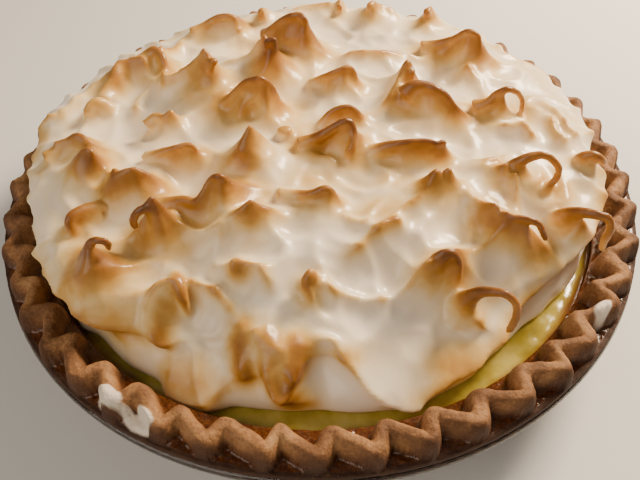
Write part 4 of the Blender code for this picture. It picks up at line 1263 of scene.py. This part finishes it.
    def shaped(self) -> bpy.types.Mesh:
        """The mound with its relief and the hollows in its side.

        Returns:
            Its mesh.
        """
        mesh = self.mound()
        points = points_of(mesh)
        folds = self.folds(points)
        above = self.crown(points[:, 0], points[:, 1]) - self.foot
        share = np.clip((points[:, 2] - self.foot) / above, 0, 1)
        angle, radius = polar(points)
        degrees = np.degrees(angle)
        points[:, 2] += (self.relief(points) + folds) * share**1.2
        push = np.zeros(radius.shape)
        for middle, height, across, up, depth in SIDE_HOLLOWS:
            along = np.radians(turn_from(middle, degrees)) * radius
            push += depth * np.exp(-((along / across) ** 2) - ((points[:, 2] - height) / up) ** 2)
        for ridge in SIDE_RIDGES:
            push -= self.side_crest(degrees, points[:, 2], ridge)
        push -= self.side_fold_share * folds * smooth_step(points[:, 2], self.foot + 1, self.foot + 8)
        points[:, :2] *= (1 - push * np.clip((radius - 80) / 15, 0, 1) / np.maximum(radius, 1))[:, None]
        set_points(mesh, points)
        return mesh

    @staticmethod
    def spline_point(points: list[Vector], share: float) -> Vector:
        """A point on a smooth curve through other points.

        Args:
            points: the points that it runs through.
            share: how far along it the wanted point is, from 0 to 1.

        Returns:
            The point.
        """
        spans = len(points) - 1
        at = min(int(share * spans), spans - 1)
        t = share * spans - at
        p0, p1, p2, p3 = points[max(at - 1, 0)], points[at], points[at + 1], points[min(at + 2, spans)]
        square, cube = 2 * p0 - 5 * p1 + 4 * p2 - p3, 3 * p1 - p0 - 3 * p2 + p3
        return 0.5 * (2 * p1 + (p2 - p0) * t + square * t**2 + cube * t**3)

    def add_peak(self, bm: bmesh.types.BMesh, peak: Peak) -> None:
        """Extrude a ring along a peak's spine, wide and flat at the foot, round at the tip.

        Args:
            bm: the bmesh that takes the peak.
            peak: the peak to pull.
        """
        points = [self.on_crown(place) for place in peak.spine]
        pull = points[-1] - points[0]
        across = Vector((-pull.y, pull.x, 0))
        across = across.normalized() if across.length > 0.5 else Vector((0, 1, 0))
        ring = bmesh.ops.create_circle(bm, cap_ends=True, segments=self.tube_sides, radius=MM)["verts"]
        corners = [(vert.co.x / MM, vert.co.y / MM) for vert in ring]
        run, last = 0.0, points[0]
        for step in range(self.tube_rings + 1):
            share = step / self.tube_rings
            middle = self.spline_point(points, share)
            run += (middle - last).length
            last = middle
            behind, ahead = (
                self.spline_point(points, at) for at in (max(share - 0.02, 0), min(share + 0.02, 1)))
            ahead = (ahead - behind).normalized()
            side = (across - across.dot(ahead) * ahead).normalized()
            out = side.cross(ahead)
            slim = math.exp(-run / self.flare)
            rounding = math.sqrt(max(1 - max(0.0, (share - self.round_from) / self.round_over) ** 2, 0.1))
            tip = self.tip_share * peak.tip
            long_side = (tip + (peak.reach - tip) * slim) * rounding
            short_side = (0.9 * tip + (peak.girth - tip) * slim) * rounding
            if step:
                ring = self.next_ring(bm, ring)
            for vert, (u, v) in zip(ring, corners):
                vert.co = (middle + out * (u * long_side) + side * (v * short_side)) * MM

    @staticmethod
    def next_ring(bm: bmesh.types.BMesh, ring: list[bmesh.types.BMVert]) -> list[bmesh.types.BMVert]:
        """Extrude the capped ring at the end of a tube.

        Args:
            bm: the bmesh that the tube is in.
            ring: the points of the ring.

        Returns:
            The points of the new ring, in the same order and place.
        """
        loop = [e for e in {e for v in ring for e in v.link_edges} if all(v in ring for v in e.verts)]
        caps = [f for f in {f for v in ring for f in v.link_faces} if all(v in ring for v in f.verts)]
        order = {vert.co.copy().freeze(): index for index, vert in enumerate(ring)}
        made = bmesh.ops.extrude_face_region(bm, geom=caps + loop)["geom"]
        new = [item for item in made if isinstance(item, bmesh.types.BMVert)]
        return sorted(new, key=lambda vert: order[vert.co.copy().freeze()])

    @staticmethod
    def even_out(bm: bmesh.types.BMesh, passes: int) -> None:
        """Take out the voxel steps without thinning the peaks: each smoothing is followed by a swelling.

        Args:
            bm: the bmesh to smooth.
            passes: how many times it is smoothed and swelled.
        """
        axes = {"use_axis_x": True, "use_axis_y": True, "use_axis_z": True}
        for _ in range(passes):
            for factor in (0.5, -0.52):
                bmesh.ops.smooth_vert(bm, verts=bm.verts, factor=factor, **axes)

    @staticmethod
    def drop_scraps(bm: bmesh.types.BMesh) -> None:
        """Keep the largest connected piece.

        Args:
            bm: the bmesh, which loses its other pieces.
        """
        left, pieces = set(bm.verts), []
        while left:
            stack = [left.pop()]
            piece = list(stack)
            while stack:
                for edge in stack.pop().link_edges:
                    for vert in edge.verts:
                        if vert in left:
                            left.remove(vert)
                            stack.append(vert)
                            piece.append(vert)
            pieces.append(piece)
        for piece in sorted(pieces, key=len)[:-1]:
            bmesh.ops.delete(bm, geom=piece, context="VERTS")

    @staticmethod
    def standing_out(mesh: bpy.types.Mesh, points: Array, passes: int) -> Array:
        """How far each point stands out of the surface round it, below zero in a hollow.

        Args:
            mesh: the mesh.
            points: its points as rows of x, y and z in mm.
            passes: how many times neighbours are averaged, which sets how far round it looks.

        Returns:
            The distance at each point in mm.
        """
        ends = np.empty(len(mesh.edges) * 2, np.int32)
        mesh.edges.foreach_get("vertices", ends)
        a, b = ends.reshape(-1, 2).T
        count = np.bincount(ends, minlength=len(points)).astype(float)[:, None]
        normals = np.empty(len(points) * 3, np.float32)
        mesh.vertices.foreach_get("normal", normals)
        even = points.copy()
        for _ in range(passes):
            total = np.column_stack([
                np.bincount(a, even[b, axis], len(points)) + np.bincount(b, even[a, axis], len(points))
                for axis in range(3)])
            even = 0.3 * even + 0.7 * total / count
        return ((points - even) * normals.reshape(-1, 3)).sum(axis=1)

    def toasted_places(self) -> list[tuple[Vector, float, float]]:
        """Where the oven's heat reaches first.

        Returns:
            Places on crests, each with how brown it is and over what distance that fades.
        """
        crests = [
            (peak.spine, peak.toast, self.peak_fade + self.fade_per_rise * max(p[2] for p in peak.spine))
            for peak in PEAKS.values()]
        crests += [(ridge.path, ridge.toast, self.ridge_fade) for ridge in RIDGES]
        found = [
            (self.on_crown(place), shade * min(1.0, 0.4 + place[2] / 12), fade)
            for path, shade, fade in crests for place in self.places(path) if place[2] > 1]
        for ridge in SIDE_RIDGES:
            for degrees, height, out in self.places(ridge.path):
                radius, angle = self.side_radius(degrees, height) + out, math.radians(degrees)
                at = Vector((radius * math.cos(angle), radius * math.sin(angle), height))
                found.append((at, ridge.toast * min(1.0, out / 4), self.side_fade))
        return found

    def toasted(self, mesh: bpy.types.Mesh, points: Array) -> Array:
        """How brown each point is.

        Args:
            mesh: the mesh.
            points: its points as rows of x, y and z in mm.

        Returns:
            Values from 0 to 1.
        """
        toast, wash = np.zeros((2, len(points)))
        for at, shade, fade in self.toasted_places():
            near = (np.abs(points[:, 0] - at.x) < 3 * fade) & (np.abs(points[:, 1] - at.y) < 3 * fade)
            away = points[near] - np.array(at)
            away[:, 2] *= 0.8
            away = np.sqrt((away**2).sum(axis=1))
            halo, core = np.exp(-((away / fade) ** 1.7)), np.exp(-((away / (0.42 * fade)) ** 2))
            fallen = shade * ((1 - self.core_share) * halo + self.core_share * core)
            toast[near] = np.maximum(toast[near], fallen)
        for stain in STAINS:
            away = ((points - np.array(stain.place)) / np.array(stain.spread)) ** 2
            wash = np.maximum(wash, stain.toast * np.exp(-away.sum(axis=1)))
        patches = lumps(points, 14.0, 11.0, 3)
        near, wide = self.standing_out(mesh, points, 12), self.standing_out(mesh, points, 90)
        shown = 0.76 + 0.24 * smooth_step(wide, -1.0, 3.0)
        edges = 0.10 * smooth_step(near, 0.1, 0.7) + 0.14 * smooth_step(wide, 0.3, 2.4)
        edges *= smooth_step(points[:, 2], self.foot + 3, self.foot + 20)
        brown = np.maximum(self.deepest_toast * toast * shown, wash) * (1 + self.patchiness * patches)
        brown += edges * (0.8 + 0.5 * patches) * (1 - toast)
        return np.clip(brown + 0.03 * patches, 0, 1)

    def build(self) -> bpy.types.Object:
        """Shape the mound, pull its peaks, fuse them and toast the result.

        Returns:
            The piece.
        """
        bm = bmesh.new()
        for peak in PEAKS.values():
            self.add_peak(bm, peak)
        bmesh.ops.recalc_face_normals(bm, faces=bm.faces)
        log.info("peaks pulled")
        bm.from_mesh(self.shaped())
        log.info("mound shaped")
        fused = self.remeshed(mesh_from(bm, "peaks"), self.fuse_voxel)
        bm = bmesh.new()
        bm.from_mesh(fused)
        self.drop_scraps(bm)
        self.even_out(bm, self.smoothings)
        for vert in bm.verts:
            vert.co.z = max(vert.co.z, self.foot * MM)
        mesh = self.remeshed(mesh_from(bm, "meringue_peaks"), 0.0, self.most_triangles)
        log.info("fused")
        points = points_of(mesh)
        set_attribute(mesh, "toast", self.toasted(mesh, points))
        self.slump(points)
        self.hold_in(points)
        set_points(mesh, points)
        return place("meringue_peaks", mesh, self.finish, "meringue")


@dataclass(frozen=True)
class SoftBox:
    """A square lamp that faces the pie.

    Args:
        name: name for the lamp.
        position: its place in mm.
        size: its side in mm.
        power: in watts.
        colour: as sRGB hex.
    """

    name: str
    position: Point
    size: float
    power: float
    colour: str

    def hang(self) -> None:
        """Hang the lamp."""
        light = bpy.data.lights.new(self.name, "AREA")
        light.size = self.size * MM
        light.energy = self.power
        light.color = linear(self.colour)[:3]
        lamp = linked(self.name, light)
        lamp.location = Vector(self.position) * MM
        lamp.rotation_euler = (Vector((0, 0, 45 * MM)) - lamp.location).to_track_quat("-Z", "Y").to_euler()


@dataclass
class Studio:
    """A pale floor, soft light and the camera."""

    lens: float = 38.0
    elevation: float = 48.888
    roll: float = -1.6232
    stand: Point = (-0.131, -201.02, 231.91)
    floor_size: float = 3.0
    floor_drop: float = 0.2
    lamps: tuple[SoftBox, ...] = (
        SoftBox("key", (430, 330, 480), 240, 14.0, "FFE6C8"),
        SoftBox("fill", (-500, -500, 600), 700, 4.2, "FFEEDC"))
    room_colour: str = "F2E8DC"
    room_strength: float = 0.23
    finish: Finish = PALE_CARD

    def camera(self) -> None:
        """Stand the camera where the pie's rim takes the shape it has in the photograph."""
        lifted, rolled = math.radians(self.elevation), math.radians(self.roll)
        back = Vector((0, -math.cos(lifted), math.sin(lifted)))
        right = Vector((1, 0, 0))
        up = back.cross(right)
        across = right * math.cos(rolled) + up * math.sin(rolled)
        above = up * math.cos(rolled) - right * math.sin(rolled)
        camera = linked("camera", bpy.data.cameras.new("camera"))
        camera.data.lens = self.lens
        camera.data.sensor_width = 36.0
        camera.data.clip_start = 0.01
        stand = Matrix((across, above, back)).transposed().to_4x4()
        stand.translation = Vector(self.stand) * MM
        camera.matrix_world = stand
        bpy.context.scene.camera = camera

    def build(self) -> None:
        """Lay the floor, hang the lamps and stand the camera."""
        bm = bmesh.new()
        bmesh.ops.create_grid(bm, x_segments=1, y_segments=1, size=self.floor_size / 2)
        mesh = mesh_from(bm, "floor")
        mesh.materials.append(self.finish.material())
        floor = linked("floor", mesh)
        floor.location.z = -self.floor_drop * MM
        for lamp in self.lamps:
            lamp.hang()
        world = bpy.data.worlds.new("soft_room")
        world.use_nodes = True
        background = world.node_tree.nodes["Background"]
        background.inputs["Color"].default_value = linear(self.room_colour)
        background.inputs["Strength"].default_value = self.room_strength
        bpy.context.scene.world = world
        self.camera()


def main() -> None:
    """Build the pie from the dish up, then the studio round it."""
    logging.basicConfig(level=logging.INFO, format="%(relativeCreated)7d ms %(message)s")
    dish = Dish()
    crust = Crust(dish)
    for part in (dish, crust, Filling(crust), Meringue()):
        part.build()
    Studio().build()


if __name__ == "__main__":
    main()
